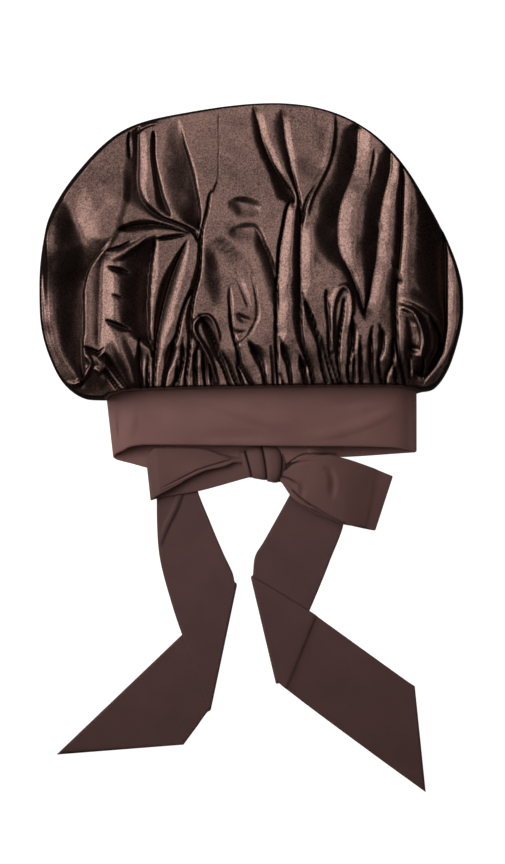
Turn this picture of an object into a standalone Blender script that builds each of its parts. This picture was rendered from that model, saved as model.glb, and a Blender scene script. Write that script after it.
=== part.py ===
"""Sleep bonnet: a puffed satin crown gathered into a wide band whose ends are tied in a bow.

It lies flat on a table. X runs across, +Y from the bow to the top of the crown, +Z up.
The origin is on the table, under the middle of the whole outline. Tables are in millimetres.
"""

from collections import namedtuple
from math import cos, exp, pi, sin, sqrt

import bmesh
import bpy

# ---- driving dimensions, mm ----
CROWN_WALL = 1.5          # satin, doubled at the gathers
BAND_WALL = 2.0           # folded band
TIE_WALL = 1.6            # folded tie strip
GAP = 0.35                # kept between pieces that lie on each other
CROWN_HEIGHT = 70.0       # top of the puffed crown above the table
CROWN_TOP_DROP = 12.0     # how much lower the crown is near its far edge
DOME_CENTRE_Y = 160.0
DOME_HALF_LENGTH = 110.0
EDGE_HEIGHT = 22.0        # height of the crown's widest line
CORNER_EDGE_HEIGHT = 10.0  # the same beside the band's folds
SIDE_ROLL = 40.0          # how far in the top layer rounds over at the sides
FAR_ROLL = 66.0           # the same at the far edge, which is thinner
UNDER_ROLL = 26.0         # the same for the layer on the table
RIM_DEPTH = 8.0           # crown cloth tucked under the band's edge
RIM_DROP = 1.7            # how much the band slopes down over that depth
GATHER_HEIGHT = 1.7       # half height of a gather beside the band
GATHER_REACH = 42.0       # how far the gathers run into the crown
TOP_RISE = 72.0           # run over which the top layer rises from the band
UNDER_FALL = 24.0         # run over which the lower layer drops to the table
FOLD_FADE = 25.0          # run over which the folds fade at the band and the outline
LEAST_LEAN = 13.0         # how far the cloth runs straight out of the band beside its folds
SEAM_WELD = 0.02          # largest distance closed along the outline

MM = 0.001
CROWN_COLUMNS = 70
CROWN_RINGS = (0.0, 0.03, 0.08, 0.15, 0.24, 0.35, 0.47, 0.59, 0.71, 0.82, 0.91, 0.97, 1.0)
STRIP_ACROSS = 4

SATIN = ("#4b3632", 0.32)
BAND_CLOTH = ("#5c4240", 0.85)
TIE_CLOTH = ("#4c3633", 0.85)


# ---- helpers ----
def linear(hex_colour):
    """sRGB hex to the linear values that Blender's colours use."""
    parts = [int(hex_colour[i:i + 2], 16) / 255 for i in (1, 3, 5)]
    return [c / 12.92 if c <= 0.04045 else ((c + 0.055) / 1.055) ** 2.4 for c in parts]


def cloth_material(name, look):
    """A plain cloth material from its colour and roughness."""
    colour, roughness = look
    material = bpy.data.materials.new(name)
    material.use_nodes = True
    shader = material.node_tree.nodes["Principled BSDF"]
    shader.inputs["Base Color"].default_value = (*linear(colour), 1.0)
    shader.inputs["Roughness"].default_value = roughness
    shader.inputs["Metallic"].default_value = 0.0
    return material


def smooth(t):
    """0 to 1 with flat ends."""
    t = min(1.0, max(0.0, t))
    return t * t * (3 - 2 * t)


def blend(a, b, t):
    """Point by point mix of two tuples."""
    return tuple(p + (q - p) * t for p, q in zip(a, b))


def slope(before, here, after):
    """A curve's slope at a row: level at a peak, and never so steep that it overshoots."""
    rise, next_rise = here - before, after - here
    if rise * next_rise <= 0:
        return 0.0
    limit = 3 * min(abs(rise), abs(next_rise))
    return max(-limit, min(limit, (rise + next_rise) / 2))


def through(rows, steps):
    """A smooth curve through the rows' numbers, with this many steps between rows."""
    rows = [tuple(v for v in row if not isinstance(v, str)) for row in rows]
    rows = [rows[0]] + rows + [rows[-1]]
    points = []
    for before, start, end, after in zip(rows, rows[1:], rows[2:], rows[3:]):
        for step in range(steps):
            t = step / steps
            point = []
            for a, b, c, d in zip(before, start, end, after):
                out = slope(a, b, c) if before is not start else c - b
                into = slope(b, c, d) if after is not end else c - b
                point.append(b + t * out + t * t * (3 * (c - b) - 2 * out - into)
                             + t ** 3 * (2 * (b - c) + out + into))
            points.append(tuple(point))
    return points + [rows[-1]]


def at(curve, fraction):
    """The point at this fraction of a curve's length in plan."""
    lengths = [0.0]
    for a, b in zip(curve, curve[1:]):
        lengths.append(lengths[-1] + sqrt((b[0] - a[0]) ** 2 + (b[1] - a[1]) ** 2))
    target = fraction * lengths[-1]
    for i in range(1, len(curve)):
        if lengths[i] >= target - 1e-9:
            run = lengths[i] - lengths[i - 1]
            return blend(curve[i - 1], curve[i], (target - lengths[i - 1]) / run if run else 0.0)
    return curve[-1]


def to_segment(x, y, a, b):
    """Distance in plan to a segment, and how far along it the nearest point is."""
    dx, dy = b[0] - a[0], b[1] - a[1]
    t = ((x - a[0]) * dx + (y - a[1]) * dy) / (dx * dx + dy * dy)
    t = min(1.0, max(0.0, t))
    return sqrt((x - a[0] - t * dx) ** 2 + (y - a[1] - t * dy) ** 2), t


def to_curve(x, y, curve):
    """Distance in plan to a curve, and the fraction along it."""
    best, where = 1e9, 0.0
    for i in range(len(curve) - 1):
        distance, t = to_segment(x, y, curve[i], curve[i + 1])
        if distance < best:
            best, where = distance, (i + t) / (len(curve) - 1)
    return best, where


def loft(rows, closed):
    """A mesh of quads through rows of points, and its vertices by row. closed joins row ends."""
    mesh = bmesh.new()
    grid = [[mesh.verts.new([v * MM for v in point]) for point in row] for row in rows]
    for lower, upper in zip(grid, grid[1:]):
        for i in range(len(lower) - (0 if closed else 1)):
            j = (i + 1) % len(lower)
            mesh.faces.new((lower[i], lower[j], upper[j], upper[i]))
    return mesh, grid


def finish(name, mesh, material, owner):
    """Turn a mesh into a named object in a collection."""
    mesh.normal_update()
    data = bpy.data.meshes.new(name)
    mesh.to_mesh(data)
    mesh.free()
    data.materials.append(material)
    data.shade_smooth()
    item = bpy.data.objects.new(name, data)
    owner.objects.link(item)
    return item


def solidify(item, thickness, offset):
    """Give an open sheet its cloth thickness: 0 centres it, -1 puts it inside."""
    wall = item.modifiers.new("Cloth wall", "SOLIDIFY")
    wall.thickness = thickness * MM
    wall.offset = offset


def cut_by(item, cutter):
    """Take the cutter's solid away from an object."""
    cut = item.modifiers.new("Cut at the knot", "BOOLEAN")
    cut.operation = "DIFFERENCE"
    cut.solver = "EXACT"
    cut.object = cutter


def strip(name, sections, wall, material, steps):
    """A folded cloth strip lofted through its table of edges, cut off where it enters the knot."""
    rows = []
    for x1, y1, z1, x2, y2, z2, arch in through(sections, steps):
        row = []
        for i in range(STRIP_ACROSS + 1):
            t = i / STRIP_ACROSS
            x, y, z = blend((x1, y1, z1), (x2, y2, z2), t)
            row.append((x, y, z + arch * 4 * t * (1 - t)))
        rows.append(row)
    item = finish(name, loft(rows, False)[0], material, bonnet)
    solidify(item, wall, 0.0)
    cut_by(item, knot_cutter)


for item in list(bpy.data.objects):
    bpy.data.objects.remove(item, do_unlink=True)
bonnet = bpy.data.collections.new("sleep_bonnet")
cutters = bpy.data.collections.new("cutters")
bpy.context.scene.collection.children.link(bonnet)
bpy.context.scene.collection.children.link(cutters)

satin = cloth_material("crown satin", SATIN)
band_cloth = cloth_material("band cloth", BAND_CLOTH)
tie_cloth = cloth_material("tie cloth", TIE_CLOTH)

# ---- crown: a bag of satin, gathered at the mouth, in one open shell ----
Spot = namedtuple("Spot", "where x y")
Place = namedtuple("Place", "where x y z")
CROWN_OUTLINE = (
    Spot("band's left fold", -134.0, 52.5), Spot("left roll, below", -147.0, 46.0),
    Spot("left roll", -163.0, 54.0), Spot("left roll, outer", -176.5, 72.5),
    Spot("left side, low", -188.0, 106.7),
    Spot("left side", -190.3, 149.0), Spot("left shoulder", -181.3, 207.5),
    Spot("upper left", -153.5, 252.5), Spot("top left", -112.0, 288.4),
    Spot("top, left of middle", -50.9, 303.8), Spot("top", 18.4, 310.9),
    Spot("top, right of middle", 77.9, 301.1), Spot("upper right", 123.8, 270.4),
    Spot("right shoulder", 161.6, 216.5), Spot("right side, high", 185.8, 162.5),
    Spot("right side", 190.3, 126.5), Spot("right side, low", 180.5, 81.5),
    Spot("right roll", 166.0, 56.5), Spot("band's right fold", 152.0, 52.0))
MOUTH_FRONT = (
    Place("left fold", -127.6, 48.5, 10.0), Place("left front", -122.0, 49.8, 13.4),
    Place("front, left", -100.4, 53.0, 21.2), Place("front, middle", 9.5, 55.4, 27.7),
    Place("front, right", 115.7, 56.2, 21.4), Place("right front", 140.0, 55.0, 13.6),
    Place("right fold", 145.6, 54.0, 10.0))
MOUTH_BACK = (
    Place("left fold", -127.6, 48.5, 10.0), Place("left back", -118.0, 45.0, 5.2),
    Place("back, left", -73.4, 41.0, 4.6), Place("left of the knot", -32.9, 23.5, 6.2),
    Place("behind the knot", 10.0, 13.0, 7.4), Place("right of the knot", 57.1, 28.0, 6.2),
    Place("back, right", 88.7, 43.6, 5.0), Place("right back", 137.0, 49.6, 5.2),
    Place("right fold", 145.6, 54.0, 10.0))

# The crown's main folds: three places on each crest or hollow, its half width and its height.
Fold = namedtuple("Fold", "where x1 y1 x2 y2 x3 y3 half_width height")
CROWN_FOLDS = (
    Fold("left flap's edge", -104, 268, -127, 185, -148, 98, 13, 4),
    Fold("hollow left of the flap's end", -100, 160, -118, 140, -120, 110, 14, -8),
    Fold("crest at upper left", -95, 275, -96, 235, -72, 205, 11, 5),
    Fold("long left hollow", -42, 250, -48, 185, -58, 90, 11, -9),
    Fold("crest above the left gathers", -60, 190, -76, 140, -88, 85, 11, 5),
    Fold("slanting hollow near the top", 5, 290, 20, 245, 36, 222, 11, -7),
    Fold("middle crest", 31, 225, 28, 150, 38, 90, 11, 5),
    Fold("hollow right of the middle", 43, 245, 46, 165, 50, 95, 10, -8),
    Fold("first right crest", 78, 285, 52, 195, 66, 80, 11, 5),
    Fold("right hollow", 88, 270, 76, 190, 80, 110, 12, -7),
    Fold("second right crest", 104, 260, 94, 180, 96, 95, 11, 5),
    Fold("third right crest", 130, 245, 118, 180, 108, 90, 11, 5),
    Fold("long right hollow", 140, 240, 134, 175, 126, 95, 11, -8))


def folds_at(x, y):
    """How far the crown's main folds lift or sink it here."""
    total = 0.0
    for fold, curve in fold_curves:
        distance, along = to_curve(x, y, curve)
        fade = smooth(5 * along) * smooth(5 * (1 - along))
        total += fold.height * fade * exp(-(distance / fold.half_width) ** 2)
    return total


def roll(distance, width):
    """Quarter circle rise over a width: 0 at the edge, 1 from there in."""
    inner = 1 - min(distance, width) / width
    return sqrt(max(0.0, 1 - inner * inner))


def crown_place(s, mouth, reach_fraction):
    """Where a line of crown cloth runs in plan. s is -1 at the left fold to 1 at the right."""
    edge = at(outline, 0.5 + 0.5 * (0.6 * s + 0.4 * s ** 3))
    start = at(mouth, 0.5 + 0.5 * (1.2 * s - 0.2 * s ** 3))
    run = sqrt((edge[0] - start[0]) ** 2 + (edge[1] - start[1]) ** 2)
    lean = (start[0], start[1] + max(LEAST_LEAN, 0.3 * run))
    t = reach_fraction
    x, y = blend(blend(start[:2], lean, t), blend(lean, edge, t), t)
    return x, y, start, run


def top_height(x, y, start_z, run, reach, belly, distance):
    """The crown's upper layer: it rises from the band, domes, and rolls over at the outline."""
    dome = CROWN_HEIGHT - CROWN_TOP_DROP * ((y - DOME_CENTRE_Y) / DOME_HALF_LENGTH) ** 2
    width = blend((SIDE_ROLL,), (FAR_ROLL,), smooth((y - DOME_CENTRE_Y) / DOME_HALF_LENGTH))[0]
    puff = belly + (dome - belly) * roll(distance, width)
    z = start_z + (puff - start_z) * smooth(reach / min(TOP_RISE, 0.9 * run))
    return z + folds_at(x, y) * smooth(distance / FOLD_FADE) * smooth(reach / FOLD_FADE)


def under_height(start_z, run, reach, belly, distance):
    """The crown's lower layer: it drops from the band and lies flat on the table."""
    flat = belly * (1 - roll(distance, UNDER_ROLL))
    return start_z + (flat - start_z) * smooth(reach / min(UNDER_FALL, 0.8 * run))


def crown_column(index, mouth, under):
    """One line of crown points from under the band to the outline, pleated beside the band."""
    s = 2 * index / CROWN_COLUMNS - 1
    from_corner = 1 - abs(s)
    belly = CORNER_EDGE_HEIGHT + (EDGE_HEIGHT - CORNER_EDGE_HEIGHT) * smooth(from_corner * 6)
    tuck = RIM_DEPTH * smooth(from_corner * 12 + 0.35)
    pleat = GATHER_HEIGHT * (1 if index % 2 else -1) * (from_corner > 0)
    x, y, (_, _, start_z), run = crown_place(s, mouth, 0.0)
    if under:
        pleat = max(pleat, 0.0)
        column = [(x, y - tuck, start_z + 0.5 * pleat)]
    else:
        inside = min(pleat, 0.0)
        column = [(x, y - tuck, start_z - RIM_DROP * tuck / RIM_DEPTH + inside)]
    for t in CROWN_RINGS:
        x, y, _, _ = crown_place(s, mouth, t)
        distance = min(to_curve(x, y, outline)[0], to_curve(x, y, corner_lines[s > 0])[0])
        reach = run * t
        fade = smooth(1 - reach / GATHER_REACH)
        if under:
            z = under_height(start_z, run, reach, belly, distance) + pleat * fade
        else:
            z = top_height(x, y, start_z, run, reach, belly, distance)
            z += fade * (1.4 * pleat if t else inside)
        column.append((x, y, z))
    return column


outline = through(CROWN_OUTLINE, 5)
mouth_front = through(MOUTH_FRONT, 4)
mouth_back = through(MOUTH_BACK, 4)
corner_lines = ((mouth_front[0], outline[0]), (mouth_front[-1], outline[-1]))
fold_curves = [(fold, through(((fold.x1, fold.y1), (fold.x2, fold.y2), (fold.x3, fold.y3)), 4))
               for fold in CROWN_FOLDS]

crown_columns = [crown_column(i, mouth_front, False) for i in range(CROWN_COLUMNS + 1)]
crown_columns += [crown_column(i, mouth_back, True) for i in range(CROWN_COLUMNS - 1, 0, -1)]
crown_mesh, crown_rings = loft(list(zip(*crown_columns)), True)
# the last ring lies on the outline twice, once from each layer: sew the two together
edge_ring = crown_rings[-1]
for i in range(1, CROWN_COLUMNS):
    edge_ring[-i].co = edge_ring[i].co
bmesh.ops.remove_doubles(crown_mesh, verts=edge_ring, dist=SEAM_WELD * MM)
solidify(finish("crown", crown_mesh, satin, bonnet), CROWN_WALL, -1.0)

# ---- knot: the strip wrapped three times round the leads, seen as three ridges ----
Wrap = namedtuple("Wrap", "where x reach_back reach_front height")
KNOT_CENTRE_Y = -13.5
KNOT_WRAPS = (
    Wrap("left end", -9.6, 10.0, 10.0, 10.0), Wrap("left ridge", -7.2, 15.0, 15.5, 15.5),
    Wrap("groove", -4.2, 15.2, 16.0, 15.0), Wrap("middle ridge, left", -0.5, 16.4, 18.2, 18.4),
    Wrap("middle ridge, right", 7.5, 16.6, 19.0, 19.0), Wrap("groove", 13.0, 15.6, 17.6, 16.4),
    Wrap("right ridge", 18.5, 16.2, 18.0, 18.0), Wrap("right ridge, outer", 23.5, 14.8, 15.6, 15.4),
    Wrap("right end", 26.8, 9.0, 9.6, 10.0))
KNOT_SIDES = 16
KNOT_SQUARENESS = 0.72


def rounded(value):
    """A sine or cosine pushed toward a rounded square."""
    return (1 if value >= 0 else -1) * abs(value) ** KNOT_SQUARENESS


def knot_solid(name, grow, owner):
    """The knot's body, or its cutter when grown by the gap that the other pieces keep."""
    sections = through(KNOT_WRAPS, 2)
    rows = []
    for i, (x, back, front, height) in enumerate(sections):
        x += {0: -grow, len(sections) - 1: grow}.get(i, 0.0)
        row = []
        for side in range(KNOT_SIDES):
            angle = 2 * pi * side / KNOT_SIDES
            reach = (back if cos(angle) > 0 else front) + grow
            row.append((x, KNOT_CENTRE_Y + reach * rounded(cos(angle)),
                        height / 2 + (height / 2 + grow) * rounded(sin(angle))))
        rows.append(row)
    mesh, loops = loft(rows, True)
    mesh.faces.new(list(reversed(loops[0])))
    mesh.faces.new(loops[-1])
    return finish(name, mesh, tie_cloth, owner)


knot_solid("knot", 0.0, bonnet)
knot_cutter = knot_solid("knot_cutter", GAP, cutters)
knot_cutter.hide_render = True
knot_cutter.display_type = "WIRE"

# ---- strips: each row has the two edges, their heights and how much the middle arches ----
Section = namedtuple("Section", "where x1 y1 z1 x2 y2 z2 arch")
BAND = (
    Section("in the knot, left", 2.0, -3.0, 6.0, 2.0, -16.0, 5.0, 0),
    Section("beside the knot", -12.0, 4.0, 4.6, -10.0, -16.0, 3.6, 0.5),
    Section("left gathers", -32.9, 22.9, 3.0, -26.6, -17.6, 2.4, 0.5),
    Section("back, left", -73.4, 41.0, 1.6, -73.4, -14.0, 1.0, 0),
    Section("left back", -118.0, 45.0, 2.0, -110.0, -12.2, 2.0, 0),
    Section("left fold", -130.1, 48.6, 10.0, -124.2, -8.0, 6.0, 0),
    Section("left front", -124.5, 50.9, 17.0, -118.0, -1.4, 11.0, 0),
    Section("front, left", -100.4, 53.6, 23.5, -91.4, 5.0, 15.0, 1.5),
    Section("front, middle", 9.5, 56.2, 29.5, 12.2, 4.0, 20.5, 2.0),
    Section("front, right", 115.7, 57.1, 23.5, 115.7, 3.1, 15.0, 1.5),
    Section("right front", 142.0, 55.8, 17.0, 143.0, 0.5, 11.0, 0),
    Section("right fold", 148.1, 54.4, 10.0, 148.5, -1.5, 6.0, 0),
    Section("right back", 137.0, 49.6, 2.0, 137.0, -2.6, 2.0, 0),
    Section("back, right", 88.7, 43.6, 1.6, 88.7, -5.9, 1.0, 0),
    Section("right gathers", 57.1, 27.4, 3.0, 59.9, -10.3, 2.4, 0.5),
    Section("beside the knot, right", 30.0, 4.0, 4.6, 30.0, -15.0, 3.8, 0.5),
    Section("in the knot, right", 16.0, -3.0, 6.0, 16.0, -16.0, 5.0, 0))
LEFT_LOOP = (
    Section("in the knot, under", 0.0, -8.0, 8.4, 2.0, -20.0, 8.0, 0),
    Section("under layer at the knot", -13.0, -7.0, 7.6, -8.0, -24.5, 6.8, 0.4),
    Section("under layer, middle", -50.9, 0.0, 6.4, -46.4, -35.6, 4.4, 0.6),
    Section("under layer, far", -80.0, -1.4, 4.6, -84.0, -44.0, 3.0, 0.6),
    Section("fold", -93.0, 1.0, 8.6, -90.5, -46.4, 7.0, 0),
    Section("upper layer, far", -80.0, 2.7, 13.4, -78.0, -37.5, 11.6, 0.8),
    Section("upper layer, middle", -46.4, 1.4, 15.4, -46.4, -20.2, 14.6, 0.6),
    Section("upper layer at the knot", -17.0, -5.0, 13.4, -14.0, -10.4, 12.6, 0.2),
    Section("in the knot, upper", -2.0, -9.0, 12.0, -2.0, -13.0, 12.0, 0))
RIGHT_LOOP = (
    Section("in the knot, under", 20.0, -8.0, 8.6, 18.0, -22.0, 8.0, 0),
    Section("under layer at the knot", 32.0, -7.0, 7.8, 27.0, -27.0, 6.8, 0.4),
    Section("under layer, middle", 61.7, -6.8, 6.2, 54.5, -55.4, 4.2, 0.6),
    Section("under layer, far", 107.0, -17.5, 3.6, 100.0, -70.5, 3.4, 0.4),
    Section("fold", 127.3, -23.0, 7.4, 111.2, -72.5, 7.4, 0),
    Section("upper layer, far", 108.0, -15.0, 12.4, 100.0, -66.0, 11.8, 0.8),
    Section("upper layer, middle", 70.7, -4.0, 17.0, 66.2, -57.0, 16.4, 1.0),
    Section("upper layer, near the knot", 43.7, -5.9, 15.4, 37.5, -41.0, 14.6, 0.8),
    Section("upper layer at the knot", 29.8, -12.0, 13.2, 25.0, -25.0, 12.6, 0.3),
    Section("in the knot, upper", 20.0, -14.0, 12.0, 18.0, -20.0, 12.0, 0))
LEFT_TAIL = (
    Section("in the knot", 0.0, -22.0, 5.0, 8.0, -22.0, 5.0, 0),
    Section("below the knot", -6.5, -30.5, 3.2, 4.5, -33.0, 3.2, 0.4),
    Section("under the loop", -86.0, -48.0, 0.8, -49.0, -37.5, 0.8, 0),
    Section("turning down", -84.2, -90.5, 0.8, -37.0, -66.0, 0.8, 0),
    Section("upper strip, middle", -72.0, -140.0, 2.6, -26.0, -92.0, 2.6, 0),
    Section("before the crease", -55.0, -189.0, 3.1, -17.5, -110.0, 3.1, 0),
    Section("crease, upper", -39.0, -234.0, 3.1, -15.2, -119.0, 3.1, 0),
    Section("crease, fold", -37.8, -236.0, 1.9, -13.6, -120.4, 1.9, 0),
    Section("crease, lower", -39.5, -237.0, 0.8, -17.8, -124.0, 0.8, 0),
    Section("under strip, middle", -50.0, -251.2, 0.8, -95.4, -198.0, 0.8, 0),
    Section("cut end", -61.7, -266.9, 0.8, -176.9, -275.9, 0.8, 0))
RIGHT_TAIL = (
    Section("in the knot", 20.0, -22.0, 5.0, 14.0, -25.0, 5.0, 0),
    Section("below the knot", 27.0, -28.0, 3.2, 18.5, -34.0, 3.2, 0.4),
    Section("under the loop", 85.9, -64.4, 0.8, 32.0, -44.6, 0.8, 0),
    Section("below the loop", 70.7, -101.2, 0.8, 12.2, -80.6, 0.8, 0),
    Section("before the crease", 54.5, -140.9, 0.8, 3.2, -95.9, 0.8, 0),
    Section("crease, lower", 24.8, -209.3, 0.8, 1.1, -113.0, 0.8, 0),
    Section("crease, fold", 23.0, -212.0, 1.9, -0.2, -113.9, 1.9, 0),
    Section("crease, upper", 24.6, -211.1, 3.1, 1.4, -114.4, 3.1, 0),
    Section("over its own edge", 29.3, -214.7, 3.1, 52.7, -145.4, 3.1, 0),
    Section("second strip", 42.0, -224.6, 0.8, 66.2, -155.3, 0.8, 0),
    Section("near the end", 108.5, -274.1, 0.8, 133.7, -203.9, 0.8, 0),
    Section("cut end", 158.0, -310.0, 0.8, 148.1, -213.8, 0.8, 0))

strip("band", BAND, BAND_WALL, band_cloth, 4)
strip("left_loop", LEFT_LOOP, TIE_WALL, tie_cloth, 4)
strip("right_loop", RIGHT_LOOP, TIE_WALL, tie_cloth, 4)
strip("left_tail", LEFT_TAIL, TIE_WALL, tie_cloth, 3)
strip("right_tail", RIGHT_TAIL, TIE_WALL, tie_cloth, 3)
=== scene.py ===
"""A satin sleep bonnet, tied in a bow at the nape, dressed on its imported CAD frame.

It lies flat on a table: X runs across, +Y from the bow to the top of the crown, +Z up.
Lengths are in millimetres unless a name says otherwise, and Blender's own are in metres.
"""

import bpy
import numpy as np
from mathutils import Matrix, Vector


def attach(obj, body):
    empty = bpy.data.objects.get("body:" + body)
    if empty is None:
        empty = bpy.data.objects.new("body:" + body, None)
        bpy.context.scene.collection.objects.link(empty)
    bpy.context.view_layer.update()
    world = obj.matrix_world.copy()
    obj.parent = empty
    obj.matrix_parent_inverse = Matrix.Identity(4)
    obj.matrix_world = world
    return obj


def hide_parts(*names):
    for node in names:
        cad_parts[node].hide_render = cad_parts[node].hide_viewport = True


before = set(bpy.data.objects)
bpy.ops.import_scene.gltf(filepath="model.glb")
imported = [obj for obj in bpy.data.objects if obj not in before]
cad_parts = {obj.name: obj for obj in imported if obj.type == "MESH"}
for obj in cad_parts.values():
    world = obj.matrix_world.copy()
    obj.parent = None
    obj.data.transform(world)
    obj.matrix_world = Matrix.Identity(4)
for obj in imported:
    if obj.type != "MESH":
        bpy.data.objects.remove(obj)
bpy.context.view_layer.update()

# ---- crown ----
# A puffed bag of polyester satin, cut as a disc and gathered into the band. It keeps the creases of
# its packing: long soft folds from the far edge to the mouth, crumples at the left, and pleats
# where the stitching draws it in. One open shell, its lower layer flat on the table.
MM = 0.001
# Seen from above, from the left fold of the band round to its right one.
CROWN_OUTLINE = (
    (-131, 45), (-146, 45.5), (-163, 54), (-176.5, 72.5), (-188, 106.7), (-190.3, 149), (-181.3, 207.5),
    (-153.5, 252.5), (-112, 288.4), (-50.9, 303.8), (18.4, 310.9), (77.9, 301.1), (123.8, 270.4),
    (161.6, 216.5), (185.8, 162.5), (190.3, 126.5), (180.5, 81.5), (166, 56.5), (152, 52))
# The gathered edge's upper and lower half, from left to right: x, y and height.
MOUTH_FRONT = (
    (-127.6, 48.5, 10), (-122, 50.2, 14.4), (-100.4, 53.8, 24.2), (9.5, 56.4, 31.7), (115.7, 57.2, 25.4),
    (140, 55.4, 14.6), (145.6, 54, 10))
MOUTH_BACK = (
    (-127.6, 48.5, 10), (-118, 45, 3.6), (-73.4, 41, 2.8), (-32.9, 23.5, 4.2), (10, 13, 7), (57.1, 28, 4.2),
    (88.7, 43.6, 2.8), (137, 49.6, 3.6), (145.6, 54, 10))


def smooth(t):
    """0 to 1 with flat ends."""
    t = np.clip(t, 0, 1)
    return t * t * (3 - 2 * t)


def through(rows, steps):
    """A smooth curve through rows of numbers that never overshoots a row."""
    rows = np.array(rows, float)
    rise = np.diff(rows, axis=0)
    slopes = np.empty_like(rows)
    slopes[0], slopes[-1] = rise[0], rise[-1]
    limit = 3 * np.minimum(abs(rise[:-1]), abs(rise[1:]))
    slopes[1:-1] = np.clip((rise[:-1] + rise[1:]) / 2, -limit, limit) * (rise[:-1] * rise[1:] > 0)
    t = (np.arange(steps) / steps)[None, :, None]
    start, end, out, into = rows[:-1, None], rows[1:, None], slopes[:-1, None], slopes[1:, None]
    curve = (start + t * out + t ** 2 * (3 * (end - start) - 2 * out - into)
             + t ** 3 * (2 * (start - end) + out + into))
    return np.vstack([curve.reshape(-1, rows.shape[1]), rows[-1]])


def run_of(curve):
    """How far along a curve each of its points is in plan, from 0 to 1."""
    run = np.concatenate([[0], np.cumsum(np.hypot(*np.diff(curve[:, :2], axis=0).T))])
    return run / run[-1]


def at(curve, fractions):
    """The curve's points at these fractions of its run."""
    run = run_of(curve)
    return np.stack([np.interp(fractions, run, column) for column in curve.T], axis=-1)


def to_curve(x, y, curve):
    """Distance in plan to a curve, which side of it (1 is its left) and the fraction along it."""
    best = np.full(x.shape, 1e9)
    side = np.ones(x.shape)
    along = np.zeros(x.shape)
    run = run_of(curve)
    for i in range(len(curve) - 1):
        ax, ay = curve[i, :2]
        dx, dy = curve[i + 1, :2] - curve[i, :2]
        t = np.clip(((x - ax) * dx + (y - ay) * dy) / max(dx * dx + dy * dy, 1e-9), 0, 1)
        distance = np.hypot(x - ax - t * dx, y - ay - t * dy)
        nearer = distance < best
        best = np.where(nearer, distance, best)
        side = np.where(nearer, np.where(dx * (y - ay) - dy * (x - ax) >= 0, 1, -1), side)
        along = np.where(nearer, run[i] + t * (run[i + 1] - run[i]), along)
    return best, side, along


RIPPLE_CELLS = 64          # the bumps repeat after this many


def ripple(x, y, size, seed):
    """Smooth bumps of this size in mm, from -1 to 1, the same on each run."""
    height = np.random.default_rng(seed).uniform(-1, 1, (RIPPLE_CELLS, RIPPLE_CELLS))
    u, v = np.asarray(x) / size, np.asarray(y) / size
    i, j = np.floor(u).astype(int), np.floor(v).astype(int)
    fu, fv = smooth(u - i), smooth(v - j)
    i, j, i1, j1 = (k % RIPPLE_CELLS for k in (i, j, i + 1, j + 1))
    low = height[i, j] * (1 - fu) + height[i1, j] * fu
    high = height[i, j1] * (1 - fu) + height[i1, j1] * fu
    return low * (1 - fv) + high * fv


# Rise over run of a fold's right side. What is deeper than that drops straight into the crease.
STEEP = 0.75
GENTLE = 0.36
END_REACH = 0.5            # where a fold fades out
folds = []


def fold(steepest, *rows):
    """A fold's smooth curve, and the steepest rise of its right side: STEEP, GENTLE, or None for a swell.

    Each row is a place on it: x, y, depth, and the reach to both its sides or to its left and its right.
    A row of x and y alone is an end where it fades out.
    """
    full = []
    for row in rows:
        if len(row) == 2:
            row += (0, END_REACH)
        full.append(row if len(row) == 5 else row + row[3:])
    return through(full, steps=4), steepest


def crease(*rows):
    """A sharp valley between two round crests."""
    folds.append(fold(STEEP, *rows))


def lap(*rows):
    """A fold that lies over: a valley with a steep left side, and an edge and a gentle rise on its right."""
    folds.append(fold(GENTLE, *rows))


def swell(*rows):
    """A soft ridge, with its height for a depth, or a soft hollow where that is negative."""
    folds.append(fold(None, *rows))


# The crown's folds, each listed from the band upwards, or from left to right where it runs across.
# The right part. The second long ridge falls to this valley, and the third rises from it.
lap((99.5, 119), (98.5, 128, 3, 4.5, 3.5), (96, 137, 3.3, 5.5, 4.5), (92, 147, 3.3, 6.5, 5.5),
    (88.5, 157, 3.3, 7), (84, 166, 3.6, 11, 10), (79.5, 175, 4.5, 16, 13.5), (77.5, 185, 5.5, 21.5, 15.5),
    (77, 198.5, 5.5, 21.5, 16), (78, 209, 5.5, 20.5, 16), (79.5, 218, 5.5, 20, 15.5),
    (82.5, 226.5, 5.2, 20, 15.5), (86.5, 236, 5, 20, 15.5), (90.5, 247, 5, 20, 14.5),
    (93, 257, 5, 19, 13.5), (94.5, 270.5, 5, 17, 12.5), (95, 284, 4.5, 15.5, 11.5), (95, 292, 0, 11, 5.5))
# The fourth ridge's valley.
lap((100.5, 115.5, 0, 2.5, 11), (101.5, 126.5, 3.5, 3.5, 12.5), (104, 135.5, 4, 4.5, 12.5),
    (106, 146, 4, 7, 12.5), (108.5, 157, 4, 11, 12.5), (110.5, 168, 4, 13.5, 12.5),
    (112, 178.5, 4, 15.5, 11.5), (113, 189.5, 4, 16, 11), (114, 200, 4, 16, 11), (115, 211, 4, 16, 11),
    (117, 222, 4, 16, 11), (119.5, 232.5, 4, 15.5, 10), (122.5, 243.5, 4, 14.5, 9), (124, 254, 4, 14.5, 8),
    (124, 265, 3, 11.5, 7), (121, 274, 0, 7, 5.5))
crease((105, 238), (107.5, 250.5, 1.5, 3.5), (109.5, 261.5, 1.5, 3.5), (109.5, 270.5))
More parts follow.
